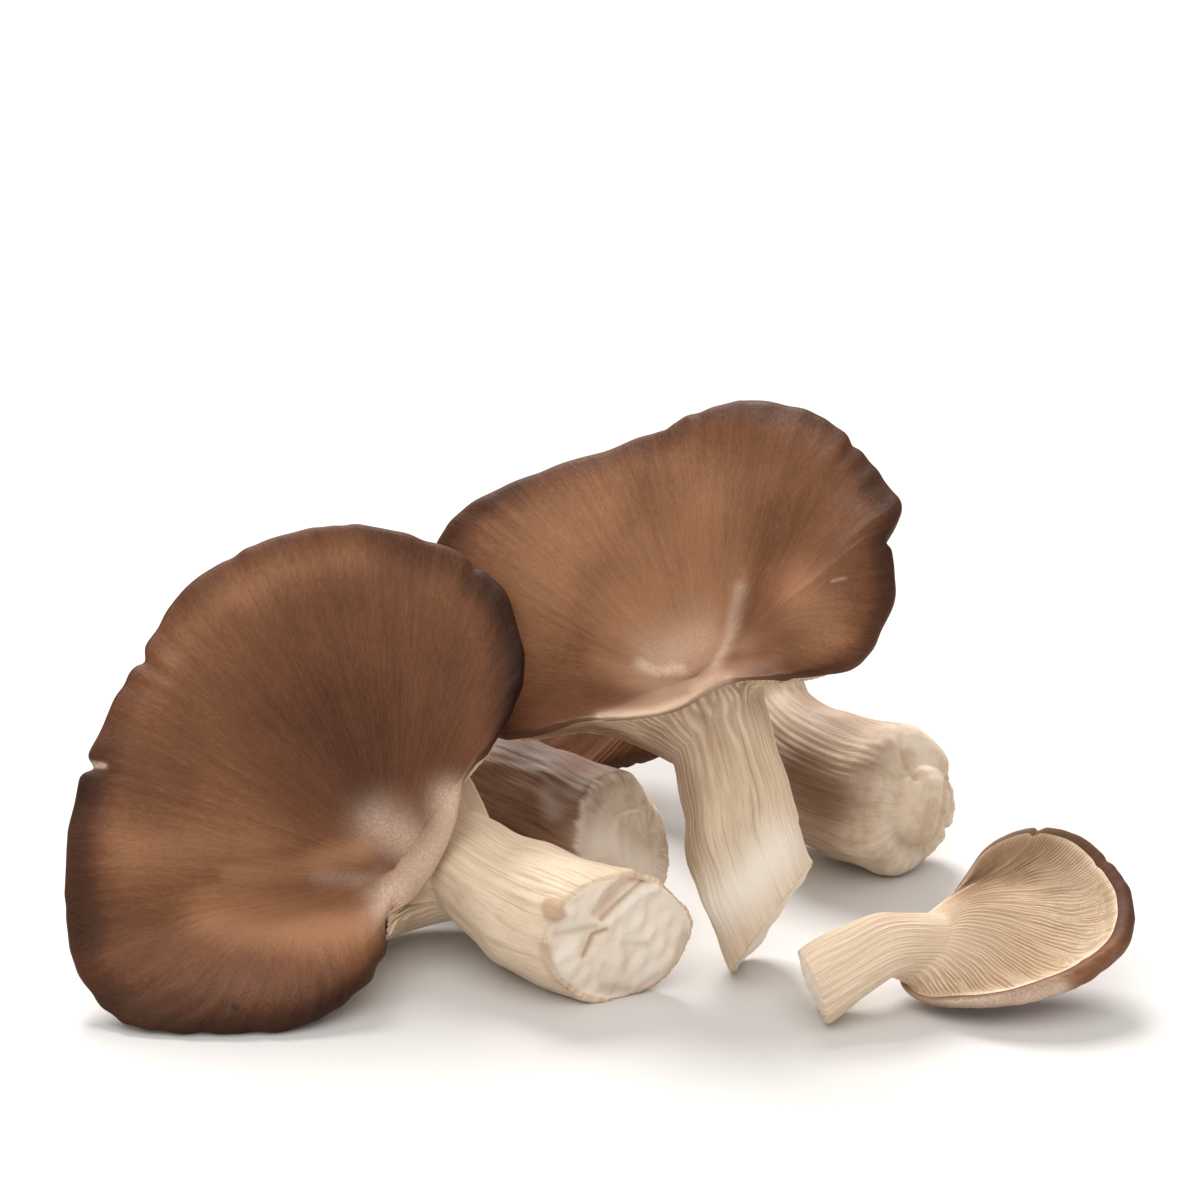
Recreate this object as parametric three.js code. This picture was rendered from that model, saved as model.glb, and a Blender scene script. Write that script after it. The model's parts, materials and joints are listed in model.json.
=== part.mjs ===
// A cluster of five cut oyster mushrooms lying together on a flat surface.
// Each mushroom grew as one piece, so each is one closed skin: the brown top of the cap, its rolled margin,
// the gills that run from the margin down on to the stem, the stem, and the face where the knife cut it.
// Millimetres, +Z up, X to the right along the front of the cluster, Y away from it.
// The origin is on the surface, under the middle of the cluster's bounding box.
import * as THREE from "three";

// The margin: how thick its edge is, and how far it curls in under the brow, as a share of how far down.
const MARGIN_THICK = 1.6;
const MARGIN_CURL_IN = 0.15;
// The rolls between which the edge and the cap's flesh go from thin, beside the stem, to full.
const THIN_ROLL = 0.4;
const FULL_ROLL = 2.5;
const THIN_SHARE = 0.4;
// How far the hollow round the crown reaches, and how far in from the brow the cap's shoulder is, as shares
// of the way from the crown to the brow.
const HOLLOW_SHARE = 0.42;
const SHOULDER_SHARE = 0.3;
// How tightly the skin bends over the brow, as a share of the roll.
const BROW_BEND = 0.5;
// Gills: how high they stand at most, and how high for their spacing where they crowd together on the stem.
const GILL_HEIGHT = 1.3;
const GILL_HEIGHT_PER_SPACING = 0.45;
// Where the gills grow in from the margin, and where they fade out down the stem.
const GILL_START = [0, 0.2];
const GILL_END = [0.1, 0.6];
// The shares of the way to the brow between which the folds pressed into the cap fade out.
const FOLD_END = [0.8, 1];
// How much of a one-sided flare its other sides keep, and how far round its own side it grows to full.
const FLARE_REST = 0.25;
const FLARE_SIDE = [-0.2, 0.6];
// How much a column's place round the stem follows where it points from the crown, and not even spacing.
const POINTING_SHARE = 0.5;
// The surface the cluster lies on.
const FLOOR = 0;

// Rings of corners along the skin, each run as shares of its own length.
const TOP_RINGS = [0.14, 0.32, 0.52, 0.72, 0.88, 1];
const ROLL_RINGS = [0.5, 1];
const GILL_RINGS = [0, 0.14, 0.3, 0.48, 0.66, 0.84, 1];
const STEM_RINGS = [0.16, 0.36, 0.56, 0.74, 0.88, 1];
const CUT_RINGS = [0.93, 0.5];
// One column of corners follows each gill and one each valley. Smooth skin only has the valleys' columns.
const COLUMNS_PER_GILL = 2;
const SMOOTH_STEM_FROM = 0.5;
// Samples for each row of the rim when its length is measured, and the step for the stem's direction.
const RIM_SAMPLES = 24;
const STEM_STEP = 0.01;

const SKIN_LOOK = { color: 0x7a5440, roughness: 0.6, metalness: 0 };

// Each rim is a loop of rows [x, y, z, roll, swing], anticlockwise seen from the cap's top side.
// x, y, z is a point on the brow, the outermost line of the cap, and the first row is beside the stem.
// roll is how far the margin curls down there, and swing is how far a streak of the skin first runs along
// the cap's crease before it turns to the brow.
// Each stem is a run of rows [x, y, z, radius] from the neck under the crown to the middle of the cut.
// up is the way the cap's top faces, well the way its hollow faces, and cut the way the cut faces.
// dome lifts the cap's shoulder, as a share of the roll there. flare widens the gills' way on to the stem,
// as shares of a gill's length down and out, and where it names a side, mostly on that side.
// collar is the way that the line faces on which the gills reach the stem, and swell is how far the cut
// stands out past its edge. A fold presses the cap's top along a path, by lift, over a width each side.
const MUSHROOMS = [
  {
    name: "mushroom_front",
    gills: 44,
    up: [-0.12, -0.74, 0.66],
    crown: [-40.5, 13, 19.5],
    well: [-0.35, -0.75, 0.56],
    crease: [-0.98, -0.1, 0.1],
    flesh: 5.5,
    dome: 0.8,
    flare: { down: 0.3, out: 0.22 },
    collar: [0.8, -0.72, 0.21],
    swell: 0.6,
    folds: [
      {
        path: [[-41, 5, 14], [-50, 9, 16], [-59, 11.5, 17.5], [-69, 9.5, 19], [-78, 5, 19], [-86, 0, 18]],
        width: 5,
        lift: -3,
      },
      {
        path: [[-44.5, -5, 13], [-54.5, -1, 12.5], [-66.5, -1, 12], [-77.5, -3.5, 11.5]],
        width: 8,
        lift: 2.6,
      },
    ],
    rim: [
      [-32, 10, 21.5, 0.6, 0],
      [-28.5, 10.5, 30, 0.8, 0],
      [-26.5, 13.5, 38.5, 1.6, 0],
      [-19, 23, 46.5, 3, 0],
      [-16, 33, 57, 4, 0],
      [-22.5, 44, 69, 4.5, 0],
      [-37, 49.5, 75, 4.5, 0],
      [-52, 52, 77, 4.5, 0],
      [-70, 48, 73.5, 4.5, 0],
      [-84, 41, 65.5, 4.5, 0],
      [-92.5, 30, 53.5, 4.5, 0],
      [-100.5, 17.5, 39.5, 4.5, 0],
      [-103, 5, 25.5, 4.5, 2],
      [-101.5, -7, 12, 4.5, 8],
      [-95, -16.5, 4.5, 3.5, 16],
      [-86, -22, 2, 2.8, 20],
      [-72, -22.3, 2, 2.8, 22],
      [-59, -21, 2.6, 3, 22],
      [-48.5, -15.5, 6, 3.5, 16],
      [-42, -6.5, 11, 3, 8],
      [-41.5, 4, 13, 1.4, 0],
      [-36.5, 8.5, 15.2, 0.6, 0],
    ],
    stem: [
      [-27, 20.5, 17, 9.8],
      [-17.5, 12, 14, 11.6],
      [-6.5, 2.2, 12.4, 13.3],
      [3.8, -4.4, 12.4, 12.9],
    ],
    cut: [0.38, -0.92, 0.1],
  },
  {
    name: "mushroom_tall",
    gills: 52,
    up: [-0.05, -0.62, 0.78],
    crown: [19, 24, 55.5],
    well: [-0.35, -0.25, 0.9],
    crease: [0.42, 0.42, 0.8],
    flesh: 5,
    dome: 0.8,
    flare: { down: 0.42, out: 0.42, towards: [-0.95, -0.3, 0] },
    collar: [0.62, -0.53, -0.7],
    swell: 0.6,
    folds: [
      { path: [[22, 23, 57.5], [25, 30.5, 61], [26, 35, 64.5], [29, 40.5, 70]], width: 3, lift: 1.6 },
      { path: [[29, 24, 61], [31.5, 33, 66.5], [33.5, 41, 73], [37, 47, 80]], width: 4.5, lift: -2.4 },
      { path: [[46, 29, 66], [50, 37, 75], [52, 43, 81.5]], width: 8, lift: 1.4 },
      { path: [[-8, 25, 48], [4, 19, 50.5], [14, 17, 53.5]], width: 4, lift: -1.4 },
    ],
    rim: [
      [15, 13, 53.2, 1, 0],
      [25, 16.5, 57.6, 1.4, 0],
      [37, 19.5, 57.8, 2.4, 8],
      [49, 24, 59, 3.4, 12],
      [55.8, 31, 65.5, 3.6, 12],
      [57.7, 36.5, 73, 3.6, 10],
      [57.2, 40.5, 79, 3.6, 8],
      [59.5, 45, 83.5, 3.6, 6],
      [56, 51, 87.5, 3.6, 4],
      [52.5, 55.5, 91, 3.6, 2],
      [48, 60, 94.8, 3.6, 0],
      [41.5, 64, 97.6, 3.6, 0],
      [31, 67.5, 98.4, 3.6, 0],
      [19.5, 68.3, 95.4, 3.6, 0],
      [8, 68, 90, 3.6, 0],
      [-5, 66.5, 86, 3.6, 0],
      [-19, 62.5, 82, 3.6, 0],
      [-30.5, 58, 75, 4, 0],
      [-35, 52, 60, 4, 0],
      [-30, 42.5, 45, 3.6, 0],
      [-19, 31.5, 40.8, 2.6, 0],
      [-4, 21, 48, 1.8, 0],
      [6, 15, 50.6, 1.2, 0],
    ],
    stem: [
      [23.5, 26.3, 43.1, 10.2],
      [27, 18, 32, 10.6],
      [28.6, 11.5, 23, 11.3],
      [33.9, 7.2, 11.3, 11.6],
    ],
    cut: [0.81, -0.3, -0.52],
  },
  {
    name: "mushroom_middle",
    gills: 36,
    up: [-0.35, -0.62, 0.7],
    crown: [-48, 66, 30],
    well: [-0.5, -0.5, 0.7],
    crease: [-1, 0, 0],
    flesh: 5,
    dome: 0.8,
    flare: { down: 0.3, out: 0.22 },
    collar: [0.78, -0.56, -0.28],
    swell: 3,
    rim: [
      [-41, 62, 32, 0.8, 0],
      [-36, 68, 40, 1.6, 0],
      [-38, 80, 50, 3, 0],
      [-50, 90, 57, 3.5, 0],
      [-66, 92, 56, 3.5, 0],
      [-80, 84, 46, 3.5, 0],
      [-86, 70, 31, 3.5, 0],
      [-82, 56, 15, 3.5, 0],
      [-70, 47, 2.7, 3.5, 0],
      [-56, 48, 4.4, 3, 0],
      [-46, 54, 14, 1.6, 0],
      [-42.5, 58, 24, 0.8, 0],
    ],
    stem: [
      [-36, 66, 24, 10.5],
      [-22, 56, 19, 12.4],
      [-8, 45.5, 16.2, 13.2],
      [6.4, 35.8, 14, 13.4],
    ],
    cut: [0.72, -0.62, 0.3],
  },
  {
    name: "mushroom_back",
    gills: 40,
    up: [-0.5, -0.48, 0.72],
    crown: [33, 91, 35],
    well: [-0.4, -0.4, 0.8],
    crease: [-1, 0, 0],
    flesh: 5,
    dome: 0.8,
    flare: { down: 0.3, out: 0.22 },
    collar: [0.5, -0.7, -0.5],
    swell: 4.5,
    rim: [
      [41, 85, 34, 0.8, 0],
      [45, 91, 41, 1.6, 0],
      [45, 102, 49, 3, 0],
      [38, 115, 52.5, 3.5, 0],
      [24, 125, 49.5, 3.5, 0],
      [8, 127, 38, 3.5, 0],
      [-6, 121, 24, 3.5, 0],
      [-13.5, 110, 8.5, 3.5, 0],
      [-11, 99, 2.7, 3.5, 0],
      [-2, 92, 8, 3.5, 0],
      [8, 88, 12.9, 3.5, 0],
      [18, 85, 17.5, 3, 0],
      [28, 82.5, 24.5, 1.6, 0],
      [36, 82.5, 30, 0.8, 0],
    ],
    stem: [
      [34.5, 88, 30, 8.4],
      [37.5, 79, 22, 10.4],
      [48.5, 66, 16.4, 14.4],
      [66, 54, 15.6, 15.8],
    ],
    cut: [0.72, -0.66, 0.1],
  },
  {
    name: "mushroom_small",
    gills: 48,
    up: [0.28, 0.5, -0.82],
    crown: [66, -4, 2.6],
    well: [0.1, 0.2, -1],
    crease: [1, 0, 0],
    flesh: 2.6,
    dome: 1.4,
    flare: { down: 0.3, out: 0.22 },
    collar: [-0.8, -0.34, 0.94],
    swell: 0.6,
    rim: [
      [58.5, -5.5, 3.2, 0.5, 0],
      [60.5, 1, 6.6, 0.6, 0],
      [66.5, 8.5, 10.4, 1, 0],
      [71.8, 12.6, 16.6, 1.2, 0],
      [77, 15, 22.6, 1.4, 0],
      [85, 16.8, 25.4, 1.6, 0],
      [93.5, 16, 24.4, 2, 0],
      [99.8, 11.8, 20.4, 2.4, 0],
      [103.3, 4, 16, 3.2, 0],
      [102, -5, 11.2, 4.6, 0],
      [96, -11.5, 7.8, 5.2, 0],
      [88, -15.5, 5.6, 5, 0],
      [79, -17.5, 4.2, 3.6, 0],
      [70, -16.5, 3.2, 2.2, 0],
      [62.5, -12.5, 2.4, 1, 0],
    ],
    stem: [
      [62, -4, 10.4, 6.3],
      [54.5, -7.2, 11.6, 6.5],
      [47.5, -10.8, 9.4, 6.8],
      [40.8, -14.2, 6.6, 7.1],
    ],
    cut: [-0.92, -0.2, -0.3],
  },
];

function vector(row) {
  return new THREE.Vector3(row[0], row[1], row[2]);
}

function unit(row) {
  return vector(row).normalize();
}

// a + b * k
function along(a, b, k) {
  return a.clone().addScaledVector(b, k);
}

// The part of v at right angles to the unit vector n.
function flatten(v, n) {
  return along(v, n, -v.dot(n));
}

function mix(a, b, k) {
  return a + (b - a) * k;
}

function smooth(from, to, x) {
  const k = THREE.MathUtils.clamp((x - from) / (to - from), 0, 1);
  return k * k * (3 - 2 * k);
}

function wrap(list, i) {
  return list[((i % list.length) + list.length) % list.length];
}

// A point on the cubic curve with four control points, at share s.
function curve(p0, p1, p2, p3, s) {
  const r = 1 - s;
  const point = p0.clone().multiplyScalar(r ** 3);
  point.addScaledVector(p1, 3 * r * r * s);
  point.addScaledVector(p2, 3 * r * s * s);
  return point.addScaledVector(p3, s ** 3);
}

// A smooth blend of four rows of numbers, at share k between the second and the third.
function blendRows(a, b, c, d, k) {
  return b.map((start, i) => {
    const slopeIn = (c[i] - a[i]) / 2;
    const slopeOut = (d[i] - start) / 2;
    const rise = c[i] - start;
    const bend = 3 * rise - 2 * slopeIn - slopeOut;
    const twist = slopeIn + slopeOut - 2 * rise;
    return start + k * (slopeIn + k * (bend + k * twist));
  });
}

// The rows as a smooth closed loop, where t counts rows from the first one.
function loopRow(rows, t) {
  const i = Math.floor(t);
  return blendRows(wrap(rows, i - 1), wrap(rows, i), wrap(rows, i + 1), wrap(rows, i + 2), t - i);
}

// The rows as a smooth open run, with s from 0 to 1.
function runRow(rows, s) {
  const last = rows.length - 1;
  const i = Math.min(Math.floor(s * last), last - 1);
  const row = (k) => rows[THREE.MathUtils.clamp(i + k, 0, last)];
  return blendRows(row(-1), row(0), row(1), row(2), s * last - i);
}

// The rim's rows at evenly spaced places along the brow, one for each column.
function evenRim(rows, columns) {
  const steps = rows.length * RIM_SAMPLES;
  const lengths = [0];
  for (let i = 1; i <= steps; i++) {
    const here = vector(loopRow(rows, i / RIM_SAMPLES));
    const before = vector(loopRow(rows, (i - 1) / RIM_SAMPLES));
    lengths.push(lengths[i - 1] + here.distanceTo(before));
  }
  const even = [];
  let i = 0;
  for (let c = 0; c < columns; c++) {
    const wanted = (lengths[steps] * c) / columns;
    while (lengths[i + 1] <= wanted) i++;
    const share = (wanted - lengths[i]) / (lengths[i + 1] - lengths[i]);
    even.push(loopRow(rows, (i + share) / RIM_SAMPLES));
  }
  return even;
}

// The angle at which each column goes down the stem: partly by even spacing, partly by where it points
// from the crown.
function stemAngles(brows, crown, up) {
  const first = flatten(vector(brows[0]).sub(crown), up).normalize();
  const side = up.clone().cross(first);
  let before = 0;
  return brows.map((row, c) => {
    const out = vector(row).sub(crown);
    let turn = Math.atan2(out.dot(side), out.dot(first)) / (2 * Math.PI);
    while (turn < before - 0.5) turn += 1;
    before = turn;
    return 2 * Math.PI * mix(c / brows.length, turn, POINTING_SHARE);
  });
}

// The stem's centre line with a frame that doesn't twist. Its side starts towards the first column.
function stemFrames(rows, shares, toFirst) {
  let side = toFirst;
  return shares.map((share) => {
    const row = runRow(rows, share);
    const ahead = vector(runRow(rows, Math.min(share + STEM_STEP, 1)));
    const behind = vector(runRow(rows, Math.max(share - STEM_STEP, 0)));
    const down = ahead.sub(behind).normalize();
    side = flatten(side, down).normalize();
    return { share, centre: vector(row), radius: row[3], down, side, across: side.clone().cross(down) };
  });
}

// The way out from the stem's centre line at an angle round it.
function stemOut(frame, angle) {
  const out = frame.side.clone().multiplyScalar(Math.cos(angle));
  return out.addScaledVector(frame.across, Math.sin(angle));
}

// How far along the stem its skin has to slide, at each angle, to lie on the plane that faces a given way.
function slides(frame, angles, facing) {
  return angles.map((angle) => {
    return (-frame.radius * stemOut(frame, angle).dot(facing)) / frame.down.dot(facing);
  });
}

// Points round the stem. They slide from the collar's slant, where the gills end, to the slant of the cut.
function stemRing(frame, angles, collar, cut) {
  return angles.map((angle, c) => {
    const slide = collar[c] * (1 - frame.share) ** 2 + cut[c] * frame.share ** 2;
    return along(along(frame.centre, stemOut(frame, angle), frame.radius), frame.down, slide);
  });
}

// How far the folds move a point of the cap's top.
function foldLift(folds, point) {
  return folds.reduce((sum, { path, width, lift }) => {
    const away = path.slice(1).map((end, i) => {
      const nearest = new THREE.Line3(vector(path[i]), vector(end));
      return nearest.closestPointToPoint(point, true, new THREE.Vector3()).distanceTo(point);
    });
    return sum + lift * Math.exp(-((Math.min(...away) / width) ** 2));
  }, 0);
}

// The control points of one column's way over the cap: crown, hollow, shoulder, brow, margin and lip, and
// back under it to the foot of the gill on the stem.
function capLine(spec, row, crown, neck, angle, foot) {
  const up = unit(spec.up);
  const brow = vector(row);
  const [, , , roll, swing] = row;
  const reach = brow.clone().sub(crown);
  const outward = flatten(reach, up);
  const inset = SHOULDER_SHARE * outward.length();
  outward.normalize();
  const full = mix(THIN_SHARE, 1, smooth(THIN_ROLL, FULL_ROLL, roll));
  const hollow = along(crown, flatten(reach, unit(spec.well)), HOLLOW_SHARE);
  hollow.addScaledVector(unit(spec.crease), swing);
  const shoulder = along(along(brow, outward, -inset), up, spec.dome * roll);
  const bend = along(brow, brow.clone().sub(shoulder).normalize(), BROW_BEND * roll);
  const margin = along(along(brow, up, -roll), outward, -MARGIN_CURL_IN * roll);
  const lip = along(margin, outward, -MARGIN_THICK * full);
  const span = lip.distanceTo(foot);
  const wide = spec.flare.out * flareShare(spec.flare, outward) * span;
  const flare = along(along(foot, neck.down, -spec.flare.down * span), stemOut(neck, angle), wide);
  const under = along(shoulder, up, -spec.flesh * full);
  return { hollow, shoulder, brow, bend, outward, roll, margin, lip, under, flare, foot };
}

// How much of the flare this side of the stem has.
function flareShare(flare, outward) {
  if (!flare.towards) return 1;
  return mix(FLARE_REST, 1, smooth(...FLARE_SIDE, outward.dot(unit(flare.towards))));
}

// Rings over the cap and back under it to the stem. Folds need a column on each gill's line too.
function capRings(lines, crown, spec) {
  const up = unit(spec.up);
  const folds = spec.folds ?? [];
  const skinStep = folds.length > 0 ? 1 : COLUMNS_PER_GILL;
  const top = (line, s) => {
    const point = curve(crown, line.hollow, line.shoulder, line.brow, s);
    return along(point, up, foldLift(folds, point) * (1 - smooth(...FOLD_END, s)));
  };
  const roll = (line, s) => {
    const tuck = along(line.margin, line.outward, BROW_BEND * line.roll);
    return curve(line.brow, line.bend, tuck, line.margin, s);
  };
  const gill = (line, s) => curve(line.lip, line.under, line.flare, line.foot, s);
  const ring = (place, share, raise, step) => {
    return { points: lines.map((line) => place(line, share)), raise, step };
  };
  return [
    ...TOP_RINGS.map((share) => ring(top, share, 0, skinStep)),
    ...ROLL_RINGS.map((share) => ring(roll, share, 0, skinStep)),
    ...GILL_RINGS.map((share) => ring(gill, share, smooth(...GILL_START, share), 1)),
  ];
}

// Rings down the stem to the cut.
function stemRings(frames, angles, collar, cut) {
  return frames.slice(1).map((frame) => {
    const points = stemRing(frame, angles, collar, cut);
    const step = frame.share < SMOOTH_STEM_FROM ? 1 : COLUMNS_PER_GILL;
    return { points, raise: 1 - smooth(...GILL_END, frame.share), step };
  });
}

// Rings in from the edge of the cut, which swells towards its middle.
function cutRings(edge, centre, facing, swell) {
  return CUT_RINGS.map((share) => {
    const out = swell * (1 - share ** 2);
    const points = edge.map((point) => along(centre.clone().lerp(point, share), facing, out));
    return { points, raise: 0, step: COLUMNS_PER_GILL };
  });
}

// Lifts every other column of the gills and the upper stem along the skin's own normal.
function raiseGills(rings) {
  const lifts = [];
  rings.forEach((ring, r) => {
    if (ring.raise === 0 || ring.step !== 1) return;
    for (let c = 1; c < ring.points.length; c += COLUMNS_PER_GILL) {
      const across = wrap(ring.points, c + 1).clone().sub(ring.points[c - 1]);
      const down = rings[r + 1].points[c].clone().sub(rings[r - 1].points[c]);
      const height = Math.min(GILL_HEIGHT, GILL_HEIGHT_PER_SPACING * across.length());
      lifts.push({ point: ring.points[c], by: down.cross(across).setLength(height * ring.raise) });
    }
  });
  for (const { point, by } of lifts) point.add(by);
}

// The numbers of the corners of the strip's triangles between two short runs that may differ in count.
function stitch(upper, lower) {
  const corners = [];
  let i = 0;
  let j = 0;
  while (i < upper.length - 1 || j < lower.length - 1) {
    if (i / (upper.length - 1) <= j / (lower.length - 1) && i < upper.length - 1) {
      corners.push(upper[i], lower[j], upper[i + 1]);
      i += 1;
    } else {
      corners.push(upper[i], lower[j], lower[j + 1]);
      j += 1;
    }
  }
  return corners;
}

// Joins the rings, and a point at each end, into one closed mesh with nothing below the surface it lies on.
function closedSkin(start, rings, end) {
  const positions = [];
  const corners = [];
  const add = (p) => {
    positions.push(p.x, p.y, Math.max(p.z, FLOOR));
    return positions.length / 3 - 1;
  };
  const runs = (ring) => {
    const numbers = ring.points.map((p, c) => (c % ring.step === 0 ? add(p) : -1));
    const kept = numbers.filter((n) => n >= 0);
    const each = COLUMNS_PER_GILL / ring.step;
    const count = kept.length / each;
    return Array.from({ length: count }, (_, g) => {
      return Array.from({ length: each + 1 }, (__, k) => kept[(g * each + k) % kept.length]);
    });
  };
  const first = add(start);
  const strips = rings.map(runs);
  const last = add(end);
  strips[0].forEach((run) => run.slice(1).forEach((n, k) => corners.push(first, run[k], n)));
  for (let r = 1; r < strips.length; r++) {
    strips[r].forEach((run, g) => corners.push(...stitch(strips[r - 1][g], run)));
  }
  strips.at(-1).forEach((run) => corners.push(last, run.at(-1), run[0]));
  const geometry = new THREE.BufferGeometry();
  geometry.setAttribute("position", new THREE.Float32BufferAttribute(positions, 3));
  geometry.setIndex(corners);
  geometry.computeVertexNormals();
  return geometry;
}

function mushroom(spec) {
  const crown = vector(spec.crown);
  const cutNormal = unit(spec.cut);
  const brows = evenRim(spec.rim, spec.gills * COLUMNS_PER_GILL);
  const angles = stemAngles(brows, crown, unit(spec.up));
  const toFirst = vector(brows[0]).sub(vector(spec.stem[0]));
  const frames = stemFrames(spec.stem, [0, ...STEM_RINGS], toFirst);
  const end = frames.at(-1);
  const collar = slides(frames[0], angles, unit(spec.collar));
  const cut = slides(end, angles, cutNormal);
  const feet = stemRing(frames[0], angles, collar, cut);
  const lines = brows.map((row, c) => capLine(spec, row, crown, frames[0], angles[c], feet[c]));
  const rings = [...capRings(lines, crown, spec), ...stemRings(frames, angles, collar, cut)];
  raiseGills(rings);
  rings.push(...cutRings(rings.at(-1).points, end.centre, cutNormal, spec.swell));
  const cutMiddle = along(end.centre, cutNormal, spec.swell);
  const start = along(crown, unit(spec.up), foldLift(spec.folds ?? [], crown));
  const look = new THREE.MeshStandardMaterial(SKIN_LOOK);
  const mesh = new THREE.Mesh(closedSkin(start, rings, cutMiddle), look);
  mesh.name = spec.name;
  return mesh;
}

const cluster = new THREE.Group();
cluster.add(...MUSHROOMS.map(mushroom));
const box = new THREE.Box3().setFromObject(cluster);
const middle = box.getCenter(new THREE.Vector3());
cluster.position.set(-middle.x, -middle.y, FLOOR - box.min.z);

export default cluster;
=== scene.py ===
# %% [markdown]
# # A cluster of oyster mushrooms
# Five cut oyster mushrooms lie together on a pale surface: two large ones in front, two whose caps are
# hidden behind them, and a small one apart with its gills up. The measured frame comes first, because every
# piece is placed in it. It gives one node for each mushroom, and each node is replaced here by a finer skin.

# %% The measured frame
import json
import math
import bpy
import numpy as np
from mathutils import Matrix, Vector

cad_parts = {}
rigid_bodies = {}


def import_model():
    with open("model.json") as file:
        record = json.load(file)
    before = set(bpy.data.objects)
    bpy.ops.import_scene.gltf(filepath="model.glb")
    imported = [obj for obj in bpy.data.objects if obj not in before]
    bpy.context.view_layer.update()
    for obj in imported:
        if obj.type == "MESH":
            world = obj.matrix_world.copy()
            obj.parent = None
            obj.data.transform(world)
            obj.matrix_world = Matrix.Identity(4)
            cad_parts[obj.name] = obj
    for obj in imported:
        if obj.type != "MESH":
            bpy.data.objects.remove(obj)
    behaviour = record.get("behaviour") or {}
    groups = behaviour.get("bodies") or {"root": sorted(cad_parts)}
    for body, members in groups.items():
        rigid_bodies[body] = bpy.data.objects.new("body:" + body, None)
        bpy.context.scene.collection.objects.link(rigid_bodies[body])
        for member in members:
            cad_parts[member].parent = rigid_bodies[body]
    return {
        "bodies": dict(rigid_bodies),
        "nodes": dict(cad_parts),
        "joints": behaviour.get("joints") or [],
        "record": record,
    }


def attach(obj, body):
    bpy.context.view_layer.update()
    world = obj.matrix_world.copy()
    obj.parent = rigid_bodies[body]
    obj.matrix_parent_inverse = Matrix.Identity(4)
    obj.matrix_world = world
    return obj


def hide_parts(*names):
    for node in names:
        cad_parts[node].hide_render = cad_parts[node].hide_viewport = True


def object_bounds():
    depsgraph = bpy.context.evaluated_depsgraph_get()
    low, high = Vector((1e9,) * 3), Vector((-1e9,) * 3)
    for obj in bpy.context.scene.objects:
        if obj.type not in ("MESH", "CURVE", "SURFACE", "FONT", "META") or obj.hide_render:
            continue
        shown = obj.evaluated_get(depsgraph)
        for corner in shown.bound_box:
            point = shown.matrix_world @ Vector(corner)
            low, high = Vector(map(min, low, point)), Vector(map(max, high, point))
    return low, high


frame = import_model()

MM = 0.001
cad_box = [list(map(float, corner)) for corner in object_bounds()]
bpy.ops.object.select_all(action="DESELECT")
print("measured box, mm:", [[round(v / MM, 1) for v in corner] for corner in cad_box])

# %% [markdown]
# ## The camera
# The photo looks down at the cluster by about 20 degrees through a long lens, so the mushrooms hardly shrink
# with distance. A camera that looks along +Y is turned up by 90 degrees, and 70 is that less the 20.
# The rows below are measured from the spot under the tall mushroom's front, so SHIFT moves all of them, the
# camera's own place too, into the frame, whose origin is under the middle of the cluster.

# %% Camera
SHIFT = np.array([0.1451, -53.196, 0.0])
LOOK_DOWN = math.radians(20)
CAMERA_FAR = 750
CAMERA_AIM = np.array([0, 0, 80.3])
IMAGE_PX = 1200
PX_PER_MM = 5.3
FOCAL_PX = PX_PER_MM * CAMERA_FAR
SENSOR_MM = 36
NEAREST_SEEN = 0.01

camera_back = np.array([0, -math.cos(LOOK_DOWN), math.sin(LOOK_DOWN)])
camera_up = np.array([0, math.sin(LOOK_DOWN), math.cos(LOOK_DOWN)])
camera_eye = CAMERA_AIM + CAMERA_FAR * camera_back
bpy.ops.object.camera_add(
    location=(camera_eye + SHIFT) * MM, rotation=(math.radians(90) - LOOK_DOWN, 0, 0))
camera = bpy.context.object
camera.data.sensor_width = SENSOR_MM
camera.data.lens = SENSOR_MM * FOCAL_PX / IMAGE_PX
camera.data.clip_start = NEAREST_SEEN
bpy.context.scene.camera = camera
print("lens, mm:", round(camera.data.lens, 2))


def photo_place(points):
    """Where points fall in the photo, in pixels from its top left."""
    rel = points - camera_eye
    depth = -rel @ camera_back
    across = rel[..., 0] / depth * FOCAL_PX + IMAGE_PX / 2
    down = IMAGE_PX / 2 - (rel @ camera_up) / depth * FOCAL_PX
    return np.stack([across, down], -1)
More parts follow.
